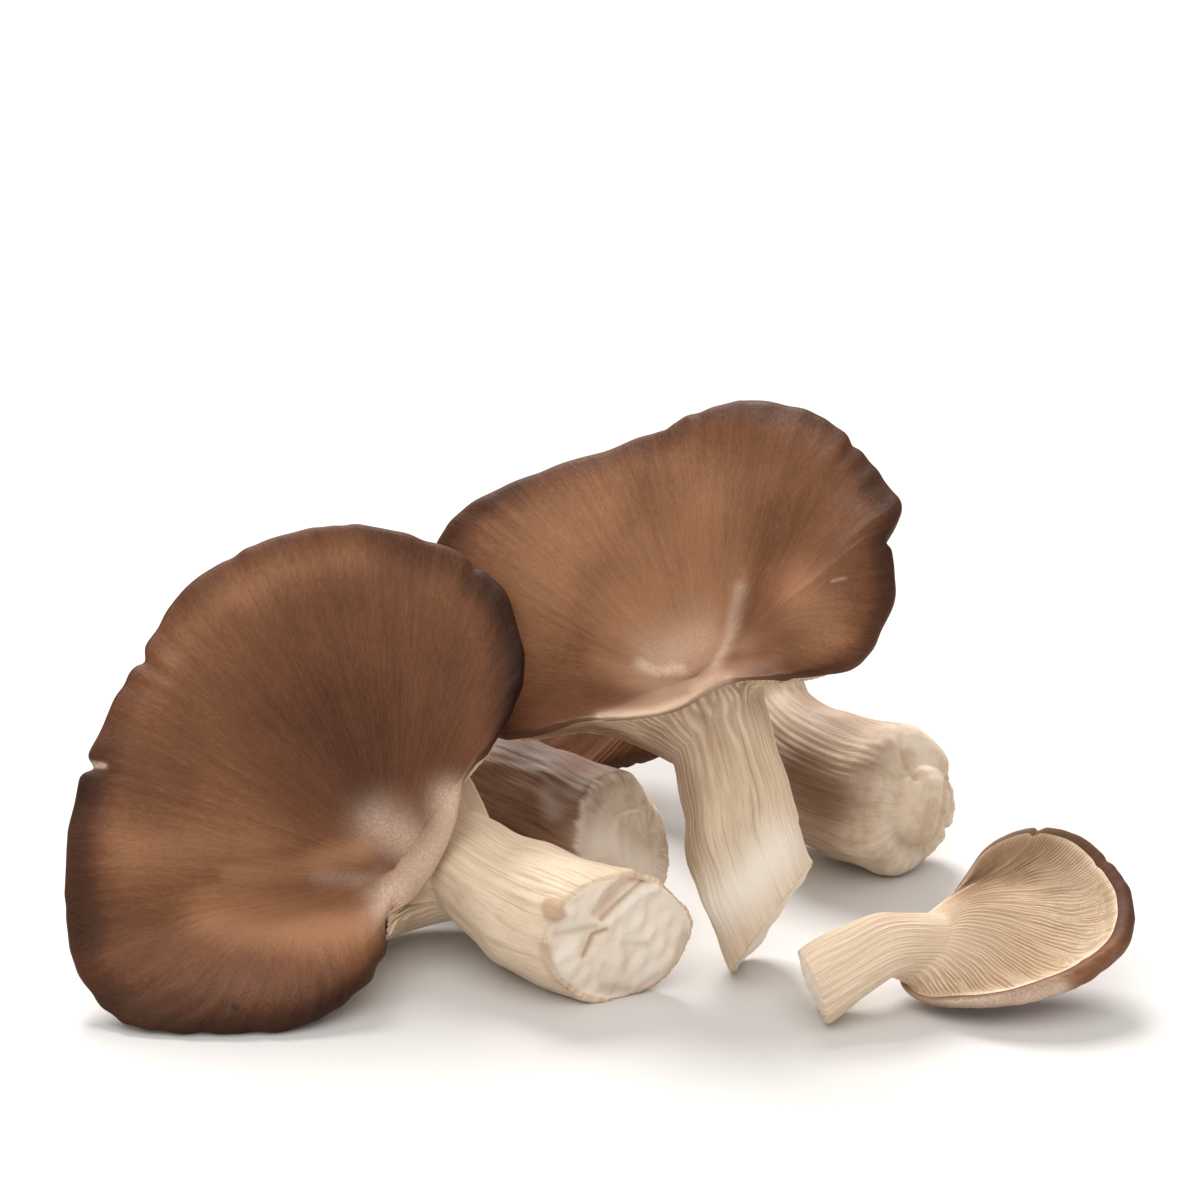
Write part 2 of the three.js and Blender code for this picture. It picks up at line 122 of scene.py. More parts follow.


# %% [markdown]
# ## The rows that shape each mushroom
# A mushroom's outline can't be had from a ball or a cylinder, so it is given by a few rows, in
# millimetres. The rim is a loop of [x, y, z, roll, swing]: a point on the cap's outermost line, how far the
# margin curls under there, and, on a creased cap, how far a streak first runs along the crease. The stem is
# a run of [x, y, z, radius], from under the crown to the middle of the cut.
# up is the way the cap's top faces and well the way its hollow faces. The stem's upper end faces along
# collar and its lower end along cut. rings says how finely the top, the rolled margin, the gills, the stem
# and the cut are laid. swell is how far the cut bulges, and round_off how far its edge is rounded.
# ### The front mushroom
# Its cap leans towards the viewer and curls under all round. Two folds, each a path with its width and its
# lift, run from the crown to the left, and three notches, each a place with its depth and width, are torn
# in the margin. Folds pressed in by formula stay soft, as in flesh; a sculpted crease tends to look sharp.

# %% Front mushroom
FRONT = {
    "node": "mushroom_front",
    "gills": 44, "per_gill": 13,
    "rings": (48, 6, 24, 36, 48),
    "up": [-0.12, -0.74, 0.66],
    "crown": [-40.5, 13, 19.5],
    "well": [-0.35, -0.75, 0.56],
    "crease": [-0.98, -0.1, 0.1],
    "flesh": 5.5,
    "collar": [0.8, -0.72, 0.21],
    "swell": 0.6,
    "folds": [
        ([[-41, 5, 14], [-50, 9, 16], [-59, 11.5, 17.5], [-69, 9.5, 19], [-78, 5, 19], [-86, 0, 18]], 5, -3),
        ([[-44.5, -5, 13], [-54.5, -1, 12.5], [-66.5, -1, 12], [-77.5, -3.5, 11.5]], 8, 2.6)],
    "rim": [
        [-32, 10, 21.5, 0.6, 0], [-28.5, 10.5, 30, 0.8, 0], [-26.5, 13.5, 38.5, 1.6, 0],
        [-19, 23, 46.5, 3, 0], [-16, 33, 57, 4, 0], [-22.5, 44, 69, 4.5, 0],
        [-37, 49.5, 75, 4.5, 0], [-52, 52, 77, 4.5, 0], [-70, 48, 73.5, 4.5, 0],
        [-84, 41, 65.5, 4.5, 0], [-92.5, 30, 53.5, 4.5, 0], [-100.5, 17.5, 39.5, 4.5, 0],
        [-103, 5, 25.5, 4.5, 2], [-101.5, -7, 12, 4.5, 8], [-95, -16.5, 4.5, 3.5, 16],
        [-86, -22, 2, 2.8, 20], [-72, -22.3, 2, 2.8, 22], [-59, -21, 2.6, 3, 22],
        [-48.5, -15.5, 6, 3.5, 16], [-42, -6.5, 11, 3, 8], [-41.5, 4, 13, 1.4, 0],
        [-36.5, 8.5, 15.2, 0.6, 0]],
    "stem": [[-27, 20.5, 17, 9.8], [-17.5, 12, 14, 11.6], [-6.5, 2.2, 12.4, 13.3], [3.8, -4.4, 12.4, 12.9]],
    "cut": [0.38, -0.92, 0.1],
    "round_off": 0.9,
    "notches": [
        ([-90.5, 32.5, 56], 1.6, 1.6), ([-100.5, 17.5, 39.5], 2.2, 1.4), ([-25, 46, 71], 1.0, 1.5)],
}
print(FRONT["node"], "has", len(FRONT["rim"]), "rim rows and", len(FRONT["folds"]), "folds")

# %% [markdown]
# ### The tall mushroom
# It stands behind the front one and leans over it. The right margin is scalloped, gills fan from the front
# margin far down the stem, and a slanted cut leaves a pointed foot, so its cut faces down and to the right.

# %% Tall mushroom
TALL = {
    "node": "mushroom_tall",
    "gills": 60, "per_gill": 12,
    "rings": (48, 6, 34, 32, 8),
    "up": [-0.05, -0.62, 0.78],
    "crown": [19, 24, 55.5],
    "well": [-0.35, -0.25, 0.9],
    "crease": [0.42, 0.42, 0.8],
    "flesh": 5,
    "flare": (0.42, 0.42, [-0.95, -0.3, 0]),
    "collar": [0.62, -0.53, -0.7],
    "swell": 0.6,
    "folds": [
        ([[22, 23, 57.5], [25, 30.5, 61], [26, 35, 64.5], [29, 40.5, 70]], 3, 1.6),
        ([[29, 24, 61], [31.5, 33, 66.5], [33.5, 41, 73], [37, 47, 80]], 4.5, -2.4),
        ([[46, 29, 66], [50, 37, 75], [52, 43, 81.5]], 8, 1.4),
        ([[-8, 25, 48], [4, 19, 50.5], [14, 17, 53.5]], 4, -1.4)],
    "rim": [
        [15, 13, 53.2, 1, 0], [25, 16.5, 57.6, 1.4, 0], [37, 19.5, 57.8, 2.4, 8],
        [49, 24, 59, 3.4, 12], [55.8, 31, 65.5, 3.6, 12], [57.7, 36.5, 73, 3.6, 10],
        [57.2, 40.5, 79, 3.6, 8], [59.5, 45, 83.5, 3.6, 6], [56, 51, 87.5, 3.6, 4],
        [52.5, 55.5, 91, 3.6, 2], [48, 60, 94.8, 3.6, 0], [41.5, 64, 97.6, 3.6, 0],
        [31, 67.5, 98.4, 3.6, 0], [19.5, 68.3, 95.4, 3.6, 0], [8, 68, 90, 3.6, 0],
        [-5, 66.5, 86, 3.6, 0], [-19, 62.5, 82, 3.6, 0], [-30.5, 58, 75, 4, 0],
        [-35, 52, 60, 4, 0], [-30, 42.5, 45, 3.6, 0], [-19, 31.5, 40.8, 2.6, 0],
        [-4, 21, 48, 1.8, 0], [6, 15, 50.6, 1.2, 0]],
    "stem": [[23.5, 26.3, 43.1, 10.2], [27, 18, 32, 10.6], [28.6, 11.5, 23, 11.3], [33.9, 7.2, 11.3, 11.6]],
    "cut": [0.81, -0.3, -0.52],
    "round_off": 0.8,
    "notches": [([57, 40.5, 79], 1.6, 1.8), ([51, 58, 92.8], 0.9, 1.6), ([13.5, 68, 93], 0.8, 1.6)],
    "stem_gills": 0.6,
}
print(TALL["node"], "has", len(TALL["rim"]), "rim rows and", len(TALL["folds"]), "folds")

# %% [markdown]
# ### The middle mushroom
# Only its dark stem and pale end show, so its hidden cap is a plain fan with coarser rings. The end is worn
# rather than freshly cut: it bulges, its edge is well rounded, and it pales from pale_from of the stem on.

# %% Middle mushroom
MIDDLE = {
    "node": "mushroom_middle",
    "gills": 40, "per_gill": 12,
    "rings": (24, 5, 30, 44, 20),
    "up": [-0.35, -0.62, 0.7],
    "crown": [-48, 66, 30],
    "well": [-0.5, -0.5, 0.7],
    "flesh": 5,
    "collar": [0.78, -0.56, -0.28],
    "swell": 3,
    "rim": [
        [-41, 62, 32, 0.8], [-36, 68, 40, 1.6], [-38, 80, 50, 3], [-50, 90, 57, 3.5],
        [-66, 92, 56, 3.5], [-80, 84, 46, 3.5], [-86, 70, 31, 3.5], [-82, 56, 15, 3.5],
        [-70, 47, 2.7, 3.5], [-56, 48, 4.4, 3], [-46, 54, 14, 1.6], [-42.5, 58, 24, 0.8]],
    "stem": [[-36, 66, 24, 10.5], [-22, 56, 19, 12.4], [-8, 45.5, 16.2, 13.2], [6.4, 35.8, 14, 13.4]],
    "cut": [0.72, -0.62, 0.3],
    "round_off": 6,
    "pale_from": 0.86,
}
print(MIDDLE["node"], "has", len(MIDDLE["rim"]), "rim rows")

# %% [markdown]
# ### The back mushroom
# Its thick stem comes out at the right and ends in a blunt, worn knob, which is why it swells and rounds off
# most. A dark sliver of its cap shows under the tall one, so the fan has to reach there.

# %% Back mushroom
BACK = {
    "node": "mushroom_back",
    "gills": 44, "per_gill": 12,
    "rings": (24, 5, 30, 44, 24),
    "up": [-0.5, -0.48, 0.72],
    "crown": [33, 91, 35],
    "well": [-0.4, -0.4, 0.8],
    "flesh": 5,
    "collar": [0.5, -0.7, -0.5],
    "swell": 4.5,
    "rim": [
        [41, 85, 34, 0.8], [45, 91, 41, 1.6], [45, 102, 49, 3], [38, 115, 52.5, 3.5],
        [24, 125, 49.5, 3.5], [8, 127, 38, 3.5], [-6, 121, 24, 3.5],
        [-13.5, 110, 8.5, 3.5], [-11, 99, 2.7, 3.5], [-2, 92, 8, 3.5],
        [8, 88, 12.9, 3.5], [18, 85, 17.5, 3], [28, 82.5, 24.5, 1.6], [36, 82.5, 30, 0.8]],
    "stem": [[34.5, 88, 30, 8.4], [37.5, 79, 22, 10.4], [48.5, 66, 16.4, 14.4], [66, 54, 15.6, 15.8]],
    "cut": [0.72, -0.66, 0.1],
    "round_off": 7,
    "pale_from": 0.72,
}
print(BACK["node"], "has", len(BACK["rim"]), "rim rows")

# %% [markdown]
# ### The small mushroom
# It lies apart on its skin with the gills up, so its up points down. A young cap is thin and shaped like a
# spoon: its shoulder stands out by more of the roll (dome), and its gills, ripples and wrinkles are finer.

# %% Small mushroom
SMALL = {
    "node": "mushroom_small",
    "gills": 52, "per_gill": 16,
    "rings": (14, 5, 52, 26, 8),
    "up": [0.28, 0.5, -0.82],
    "crown": [66, -4, 2.6],
    "well": [0.1, 0.2, -1],
    "flesh": 2.6,
    "collar": [-0.8, -0.34, 0.94],
    "swell": 0.6,
    "rim": [
        [58.5, -5.5, 3.2, 0.5], [60.5, 1, 6.6, 0.6], [66.5, 8.5, 10.4, 1],
        [71.8, 12.6, 16.6, 1.2], [77, 15, 22.6, 1.4], [85, 16.8, 25.4, 1.6],
        [93.5, 16, 24.4, 2], [99.8, 11.8, 20.4, 2.4], [103.3, 4, 16, 3.2],
        [102, -5, 11.2, 4.6], [96, -11.5, 7.8, 5.2], [88, -15.5, 5.6, 5],
        [79, -17.5, 4.2, 3.6], [70, -16.5, 3.2, 2.2], [62.5, -12.5, 2.4, 1]],
    "stem": [[62, -4, 10.4, 6.3], [54.5, -7.2, 11.6, 6.5], [47.5, -10.8, 9.4, 6.8], [40.8, -14.2, 6.6, 7.1]],
    "cut": [-0.92, -0.2, -0.3],
    "round_off": 0.4,
    "notches": [([87, 17, 25.8], 1.0, 0.8), ([100.5, 12, 21], 1.0, 0.9), ([96, -11.5, 9], 1.2, 1.0)],
    "dome": 1.4,
    "gill_height": 0.7,
    "ripple": 0.1,
    "wrinkled": 0.3,
}
MUSHROOMS = (FRONT, TALL, MIDDLE, BACK, SMALL)
print("mushrooms:", [spec["node"] for spec in MUSHROOMS])

# %% [markdown]
# ## Smooth lines through the rows
# A smooth line could be a Blender curve, but the skin needs the same place on thousands of lines at once, so
# the lines are worked out for whole arrays. A Catmull-Rom line passes through every row, which keeps the
# outline where it was measured, and a cubic curve with four control points shapes each line over the cap.

# %% Smooth lines
STEPS_PER_ROW = 24


def unit(v):
    v = np.asarray(v, float)
    return v / np.linalg.norm(v, axis=-1, keepdims=True)


def dot(a, b):
    return np.sum(a * b, -1, keepdims=True)


def mix(a, b, k):
    return a + (b - a) * k


def smooth(start, end, x):
    """0 up to start, 1 from end on, and an easy slope between."""
    k = np.clip((x - start) / (end - start), 0, 1)
    return k * k * (3 - 2 * k)


def line_rows(rows, t, closed):
    """Rows read off a smooth line through the given ones, where t counts rows."""
    rows = np.asarray(rows, float)
    n = len(rows)
    i = np.floor(t).astype(int)
    if not closed:
        i = np.clip(i, 0, n - 2)
    pick = (lambda j: rows[j % n]) if closed else (lambda j: rows[np.clip(j, 0, n - 1)])
    a, b, c, d = pick(i - 1), pick(i), pick(i + 1), pick(i + 2)
    k = (t - i)[:, None]
    into, out, rise = (c - a) / 2, (d - b) / 2, c - b
    return b + k * (into + k * (3 * rise - 2 * into - out + k * (into + out - 2 * rise)))


def curve(p0, p1, p2, p3, s):
    """The place at share s of a cubic curve with four control points."""
    r = 1 - s
    return p0 * r**3 + p1 * (3 * r * r * s) + p2 * (3 * r * s * s) + p3 * s**3


def rim_lengths(rows):
    """Fine steps round the rim, and how far round each of them is."""
    t = np.linspace(0, len(rows), len(rows) * STEPS_PER_ROW + 1)
    steps = np.linalg.norm(np.diff(line_rows(rows, t, True)[:, :3], axis=0), axis=1)
    return t, np.concatenate([[0], np.cumsum(steps)])


def even_rim(rows, columns):
    """The rim's rows at evenly spaced places, one for each column of the skin."""
    t, lengths = rim_lengths(rows)
    wanted = lengths[-1] * np.arange(columns) / columns
    return line_rows(rows, np.interp(wanted, lengths, t), True)


print("round the rims, mm:", {spec["node"]: round(rim_lengths(spec["rim"])[1][-1]) for spec in MUSHROOMS})

# %% [markdown]
# ## Unevenness that repeats exactly
# Nothing on a mushroom is even, but the script has to give the same mushroom every time. Blender's own noise
# would do, one point at a time, so a sum of slanted waves with seeded directions is used: it is just as
# uneven at these sizes and works on whole arrays.

# %% Unevenness
PHASES = 6.28


def waves(points, size, seed, count=7):
    """A smooth uneven value, mostly between -1 and 1, whose bumps are about size across."""
    dice = np.random.default_rng(seed)
    total = 0
    for _ in range(count):
        way = unit(dice.normal(size=3)) * (2 * math.pi / size) * dice.uniform(0.6, 1.5)
        total = total + np.sin(points @ way + dice.uniform(0, PHASES))
    return total / math.sqrt(count)


def around_waves(share, seed, lowest, highest):
    """An uneven value round a closed loop, mostly between -1 and 1."""
    dice = np.random.default_rng(seed)
    turns = range(lowest, highest)
    total = sum(np.sin(2 * math.pi * n * share + dice.uniform(0, PHASES)) / math.sqrt(n) for n in turns)
    return total / 2


trial = waves(np.random.default_rng(1).uniform(-100, 100, (1000, 3)), 20, 1)
print("unevenness goes from", round(trial.min(), 2), "to", round(trial.max(), 2))

# %% [markdown]
# ## One mushroom's skin
# The skin is laid out as rings, from the crown out over the cap, round the rolled margin, back along the
# gills, down the stem and in over the cut. Every ring has one point on each column. Real oyster gills run
# down on to the stem with shorter ones between them near the margin, so the columns run along the gills,
# and the gills are raised by moving whole columns out along the skin's own normal.
# ### The stem
# A stem could be a Blender curve with a bevel, but its columns have to meet the cap's. So a frame of
# directions is carried down its middle line, and a ring is laid round each. The first and last rings slide
# along the stem to lie on the collar's and the cut's planes.

# %% Where the stem goes
def stem_frames(spec, shares, to_first):
    """A place on the stem's middle line, the radius and three directions there, for each share of it."""
    side = np.asarray(to_first, float)
    frames = []
    for share in shares:
        t = np.array([share, min(share + 0.01, 1), max(share - 0.01, 0)]) * (len(spec["stem"]) - 1)
        here, ahead, behind = line_rows(spec["stem"], t, False)
        down = unit(ahead[:3] - behind[:3])
        side = unit(side - down * np.dot(side, down))
        frames.append((here[:3], here[3], down, side, np.cross(side, down)))
    return frames


def stem_angles(brows, crown, up):
    """Where round the stem each column comes down: between even spacing and straight under its rim."""
    reach = brows - crown
    first = unit(reach[0] - up * np.dot(reach[0], up))
    side = np.cross(up, first)
    turn = np.unwrap(np.arctan2(reach @ side, reach @ first)) / (2 * math.pi)
    return 2 * math.pi * mix(np.arange(len(brows)) / len(brows), turn, 0.5)


def straight_out(frame, angles):
    """The ways straight out of the stem at some angles round it."""
    side, across = frame[3:]
    return side * np.cos(angles) + across * np.sin(angles)


def slides(frame, angles, facing):
    """How far along the stem its skin has to slide to lie on the plane that faces a given way."""
    radius, down = frame[1:3]
    return -radius * dot(straight_out(frame, angles), facing) / np.dot(down, facing)


def stem_ring(frame, share, angles, collar, cut, tuck=1.0):
    """One ring of the stem, slid to the collar near its top and to the cut near its end."""
    centre, radius, down = frame[:3]
    slide = collar * (1 - share) ** 2 + cut * share**2 * tuck
    return centre + straight_out(frame, angles) * radius * tuck + down * slide


def end_tuck(spec, frame, to_end):
    """How much narrower the stem is near its end, where its edge is rounded off."""
    round_off = spec["round_off"]
    corner = round_off - math.sqrt(round_off**2 - max(round_off - to_end, 0) ** 2)
    return 1 - corner / frame[1]


for spec in MUSHROOMS:
    top, *_, end = [np.array(row[:3]) for row in spec["stem"]]
    print(spec["node"], "stem, mm from end to end:", round(np.linalg.norm(end - top)))

# %% [markdown]
# ### The cap
# On its way out over the cap, each column leaves the crown through a hollow, rises to a shoulder and bends
# over the brow, which is the rim. It rolls under through the margin and comes back, under the flesh, to the
# foot of its gill at the top of the stem. Three cubic curves a column are enough for all of that.

# %% Where the cap goes
HOLLOW_REACH = 0.42
SHOULDER_INSET = 0.3
DOME = 0.8
FLARE = (0.3, 0.22, None)
FLARE_REST = 0.25
FLARE_SIDE = (-0.2, 0.6)


def cap_controls(spec, rows, neck, angles, foot):
    """The control points of every column's way over the cap and back to its gill's foot."""
    up, crown = unit(spec["up"]), np.array(spec["crown"], float)
    brow, roll = rows[:, :3], rows[:, 3:4]
    reach = brow - crown
    outward = reach - up * dot(reach, up)
    inset = SHOULDER_INSET * np.linalg.norm(outward, axis=1, keepdims=True)
    outward = unit(outward)
    full = mix(0.4, 1, smooth(0.4, 2.5, roll))
    well = unit(spec["well"])
    hollow = crown + HOLLOW_REACH * (reach - well * dot(reach, well))
    if "crease" in spec:
        hollow = hollow + unit(spec["crease"]) * rows[:, 4:5]
    shoulder = brow - outward * inset + up * (spec.get("dome", DOME) * roll)
    bend = brow + unit(brow - shoulder) * 0.5 * roll
    margin = brow - up * roll - outward * 0.15 * roll
    tuck = margin + outward * 0.5 * roll
    lip = margin - outward * 1.6 * full
    down, out = neck[2], straight_out(neck, angles)
    span = np.linalg.norm(lip - foot, axis=1, keepdims=True)
    flare_down, flare_out, towards = spec.get("flare", FLARE)
    if towards is not None:
        flare_out = flare_out * mix(FLARE_REST, 1, smooth(*FLARE_SIDE, dot(outward, unit(towards))))
    flare = foot - down * flare_down * span + out * flare_out * span
    under = shoulder - up * spec["flesh"] * full
    return hollow, shoulder, brow, bend, tuck, margin, lip, under, flare


across = {spec["node"]: round(np.ptp(np.array(spec["rim"])[:, :3], axis=0).max()) for spec in MUSHROOMS}
print("caps, mm across:", across)

# %% [markdown]
# ### Folds
# A fold raises or sinks the cap's top by how near each place is to the fold's path, and more softly the wider
# it is. Distances to paths are needed for the marks further down too.

# %% Folds
def to_segment(points, a, b):
    """The distance from each point to a straight line between two places."""
    a, b = np.asarray(a, float), np.asarray(b, float)
    k = np.clip(((points - a) @ (b - a)) / max(np.dot(b - a, b - a), 1e-9), 0, 1)
    return np.linalg.norm(points - a - k[..., None] * (b - a), axis=-1)


def to_path(points, path):
    """The distance from each point to a line of listed places."""
    return np.min([to_segment(points, a, b) for a, b in zip(path, path[1:])], axis=0)


def fold_lift(spec, points):
    """How far the folds raise or sink each point."""
    folds = spec.get("folds", ())
    total = sum(lift * np.exp(-((to_path(points, path) / width) ** 2)) for path, width, lift in folds)
    return np.broadcast_to(total, points.shape[:-1])[..., None]


path = FRONT["folds"][0][0]
print("lift along the front's first fold, mm:", fold_lift(FRONT, np.array(path)).round(1).ravel())

# %% [markdown]
# ### All the rings
# The rings are laid closer where the skin turns most: out towards the brow, and down towards the cut. The
# folds fade out before the brow, so that the margin's own line stays as it was measured.

# %% Rings of one skin
TOP, ROLL, GILL, STEM, CUT = range(5)
FIRST_RING = 0.012
CLOSER_OUT = 0.85
CLOSER_DOWN = 0.6
FOLDS_FADE = (0.8, 1)


def lay_rings(spec, rows, columns):
    """Every point of the skin as an array of rings by columns, with each ring's zone and share."""
    counts = spec["rings"]
    up, crown = unit(spec["up"]), np.array(spec["crown"], float)
    angles = stem_angles(rows[:, :3], crown, up)[:, None]
    steps = np.linspace(0, 1, counts[STEM] + 1)
    stem_shares = mix(steps, 1 - (1 - steps) ** 2, CLOSER_DOWN)
    frames = stem_frames(spec, stem_shares, rows[0, :3] - np.array(spec["stem"][0][:3]))
    facing = unit(spec["cut"])
    collar, cut = slides(frames[0], angles, unit(spec["collar"])), slides(frames[-1], angles, facing)
    foot = stem_ring(frames[0], 0, angles, collar, cut)
    controls = cap_controls(spec, rows, frames[0], angles, foot)
    hollow, shoulder, brow, bend, tuck, margin, lip, under, flare = controls
    folded = lambda ring, share: ring + up * fold_lift(spec, ring) * (1 - smooth(*FOLDS_FADE, share))
    rings, zones, shares = [folded(np.repeat(crown[None], columns, 0), 0)], [TOP], [0.0]

    def add(zone, share, ring):
        rings.append(ring)
        zones.append(zone)
        shares.append(share)

    for i in range(counts[TOP]):
        share = FIRST_RING + (1 - FIRST_RING) * ((i + 1) / counts[TOP]) ** CLOSER_OUT
        add(TOP, share, folded(curve(crown, hollow, shoulder, brow, share), share))
    for share in np.linspace(0, 1, counts[ROLL] + 1)[1:]:
        add(ROLL, share, curve(brow, bend, tuck, margin, share))
    for share in np.linspace(0, 1, counts[GILL]):
        add(GILL, share, curve(lip, under, flare, foot, share))
    stem_length = np.linalg.norm(frames[-1][0] - frames[0][0])
    for frame, share in list(zip(frames, stem_shares))[1:]:
        narrower = end_tuck(spec, frame, (1 - share) * stem_length)
        add(STEM, share, stem_ring(frame, share, angles, collar, cut, narrower))
    edge, middle = rings[-1], frames[-1][0]
    for share in np.linspace(1, 0, counts[CUT] + 1)[1:]:
        bulge = (1 - share**2) ** (0.5 if spec["swell"] > 1 else 1)
        add(CUT, share, middle + (edge - middle) * share + facing * spec["swell"] * bulge)
    return np.array(rings), np.array(zones), np.array(shares)


def outward_normals(rings):
    """The way straight out of the skin at every point."""
    across = np.roll(rings, -1, 1) - np.roll(rings, 1, 1)
    down = np.gradient(rings, axis=0)
    normal = np.cross(down, across)
    length = np.linalg.norm(normal, axis=-1, keepdims=True)
    return normal / np.maximum(length, 1e-9)


print("rings:", {spec["node"]: 1 + sum(spec["rings"]) for spec in MUSHROOMS})

# %% [markdown]
# ## Gills
# A gill is a thin blade. On the cap there is room for a short blade between each two long ones, and for
# shorter ones still at the margin. Each set is a row of narrow ridges round the skin, and the shorter sets
# die out on their way to the stem, each at its own place. The blades waver a little, as wet flesh does.

# %% Gill heights
THIN_BLADE, THICK_BLADE, STEM_BLADE = 0.085, 0.2, 0.08


def gill_heights(spec, around, share, stem_share, points):
    """How far the skin stands out as gills, from 0 in a valley to 1 on a blade."""
    on_stem = smooth(0, 0.9, stem_share)
    sway = 0.16 * waves(points, 9, 11) * smooth(0, 0.35, share) * (1 - on_stem)
    place = around * spec["gills"] + sway
    which = np.floor(place)
    part = place - which
    ends = 0.12 * np.sin(which * 2.4) + 0.08 * np.sin(which * 5.1)
    width = mix(THIN_BLADE, THICK_BLADE, smooth(0.1, 0.8, share)) + STEM_BLADE * on_stem
    blade = lambda away: np.exp(-((away / width) ** 2))
    long_set = np.maximum(blade(part), blade(1 - part))
    middle_set = blade(part - 0.5) * (1 - smooth(0.5, 0.78, share + ends))
    short_set = np.maximum(blade(part - 0.25), blade(part - 0.75)) * (1 - smooth(0.16, 0.42, share + ends))
    return np.maximum(np.maximum(long_set, middle_set), short_set)


print("long gills:", {spec["node"]: spec["gills"] for spec in MUSHROOMS})

# %% [markdown]
# ## What stands out on the skin
# The rim ripples where the margin is full, and a few notches are torn in it. The cap's top swells, dips and
# wrinkles towards the margin, gills are lower where they crowd together, and the stem is lumpy with
# lengthwise strands. Each of these is a height out of the skin, so they are simply added up. A Displace
# modifier could raise one noise, but not gills that follow the columns.

# %% Heights on the skin
RIPPLE, GILL_HEIGHT, STEM_GILLS = 0.25, 1.1, 0.35
COARSE_STRANDS, FINE_STRANDS = 23, 57
FULL_ROLL = (0.6, 2.5)


def uneven_rim(spec, columns):
    """The rim's rows, rippled where the margin is full and with the notches torn in."""
    rows = even_rim(spec["rim"], columns)
    outward = unit(rows[:, :3] - np.array(spec["crown"]))
    ripple = spec.get("ripple", RIPPLE) * around_waves(np.arange(columns) / columns, 5, 9, 26)
    rows[:, :3] += outward * (ripple * smooth(*FULL_ROLL, rows[:, 3]))[:, None]
    for place, deep, wide in spec.get("notches", ()):
        away = np.linalg.norm(rows[:, :3] - np.array(place), axis=1)
        rows[:, :3] -= outward * (deep * np.exp(-((away / wide) ** 2)))[:, None]
    return rows


def cap_height(spec, rings, turn, out_share):
    """How far the cap's top swells, dips and wrinkles."""
    broad = 0.45 * waves(rings, 26, 21) * smooth(0.15, 0.5, out_share)
    broad = broad * (1 - 0.6 * smooth(0.85, 1, out_share))
    wrinkles = 0.3 * around_waves(turn + 0.004 * waves(rings, 20, 31), 8, 14, 60)
    return broad + wrinkles * smooth(0.5, 0.95, out_share) * spec.get("wrinkled", 1)


def blade_height(spec, rings, rolls):
    """How tall a gill can be: less where gills crowd together, and where the margin is thin."""
    spacing = np.linalg.norm(np.roll(rings, -1, 1) - rings, axis=-1) * rings.shape[1] / spec["gills"]
    tallest = np.minimum(spec.get("gill_height", GILL_HEIGHT), 0.42 * spacing)
    return tallest * mix(0.15, 1, smooth(0.5, 2.2, rolls))


def blade_rise(spec, gill_share, stem_share):
    """How much of that height it has: it starts at the lip and dies out down the stem."""
    lower = mix(1, spec.get("stem_gills", STEM_GILLS), smooth(0.6, 1, gill_share))
    return smooth(0, 0.05, gill_share) * lower * (1 - 0.9 * smooth(0, 0.55, stem_share))


def stem_height(rings, turn, stem_share):
    """How far the stem's strands and lumps stand out."""
    coarse = np.sin(2 * math.pi * COARSE_STRANDS * turn + 2 * waves(rings, 22, 41))
    fine = np.sin(2 * math.pi * FINE_STRANDS * turn + 2 * waves(rings, 18, 42))
    lumps = 0.5 * waves(rings, 15, 43)
    return smooth(0, 0.3, stem_share) * (0.09 * (coarse + 0.6 * fine) + lumps)


def cut_height(rings, share):
    """How rough the cut is, all but its edge."""
    rough = 0.22 * waves(rings, 3.2, 51) + 0.35 * waves(rings, 8, 52)
    return rough * smooth(0, 0.1, 1 - share)


for spec in MUSHROOMS:
    rolls = uneven_rim(spec, spec["gills"])[:, 3]
    print(spec["node"], "margin curls under by up to", round(rolls.max(), 1), "mm")

# %% [markdown]
# ## Marks
# Stains, bloom, cracks, scars and buds have places of their own, and so do painted highlights and painted
# shade, so each is a path in the photo's pixels, with a width there, a strength, and a push out or in by
# millimetres. A mark fades away from its path, lies only on the zones that it names, and keeps to skin that
# faces the camera, or it would come out again on the far side.

# %% Marks
MARKS = ("bloom", "dark", "light", "crack", "spot", "groove")
FACES_CAMERA = (-0.02, 0.08)
SOFT, CRISP = 2, 6
CAP, FLESH, END, FACE = (TOP, ROLL), (GILL, STEM), (CUT, STEM), (CUT,)


def paint_marks(rings, normal, zone, marks):
    """Each mark's strength all over the skin, and the skin pushed out or in there."""
    pixels = photo_place(rings)
    in_view = smooth(*FACES_CAMERA, normal @ camera_back)
    painted = {name: np.zeros_like(zone) for name in MARKS}
    for zone_kinds, name, path, wide, strength, push in marks:
        fade = np.exp(-((to_path(pixels, path) / wide) ** (CRISP if name == "spot" else SOFT)))
        mark = np.where(np.isin(zone, zone_kinds), strength * fade, 0)
        if CUT not in zone_kinds:
            mark = mark * in_view
        painted[name] = np.maximum(painted[name], mark)
        rings = rings + normal * (push * mark / strength)[..., None]
    return painted, rings


print("the front crown's pixel:", photo_place(np.array(FRONT["crown"])).round())

# %% [markdown]
# ## From rings to a mesh
# A grid is added as a primitive, one side for the rings and one for the columns, and its points are carried
# to the mushroom's skin. Merging doubles then closes the seam and the two poles. Wrapping a grid keeps the
# rows of faces running along the gills and fibres, which a remeshed or sculpted shape would lose.
# The top and the roll wear the first look, the gills and the stem the second, and the cut the third.

# %% Wrap a grid
LOOK_OF_ZONE = np.array([0, 0, 1, 1, 2])
MERGE_WITHIN = 1e-6


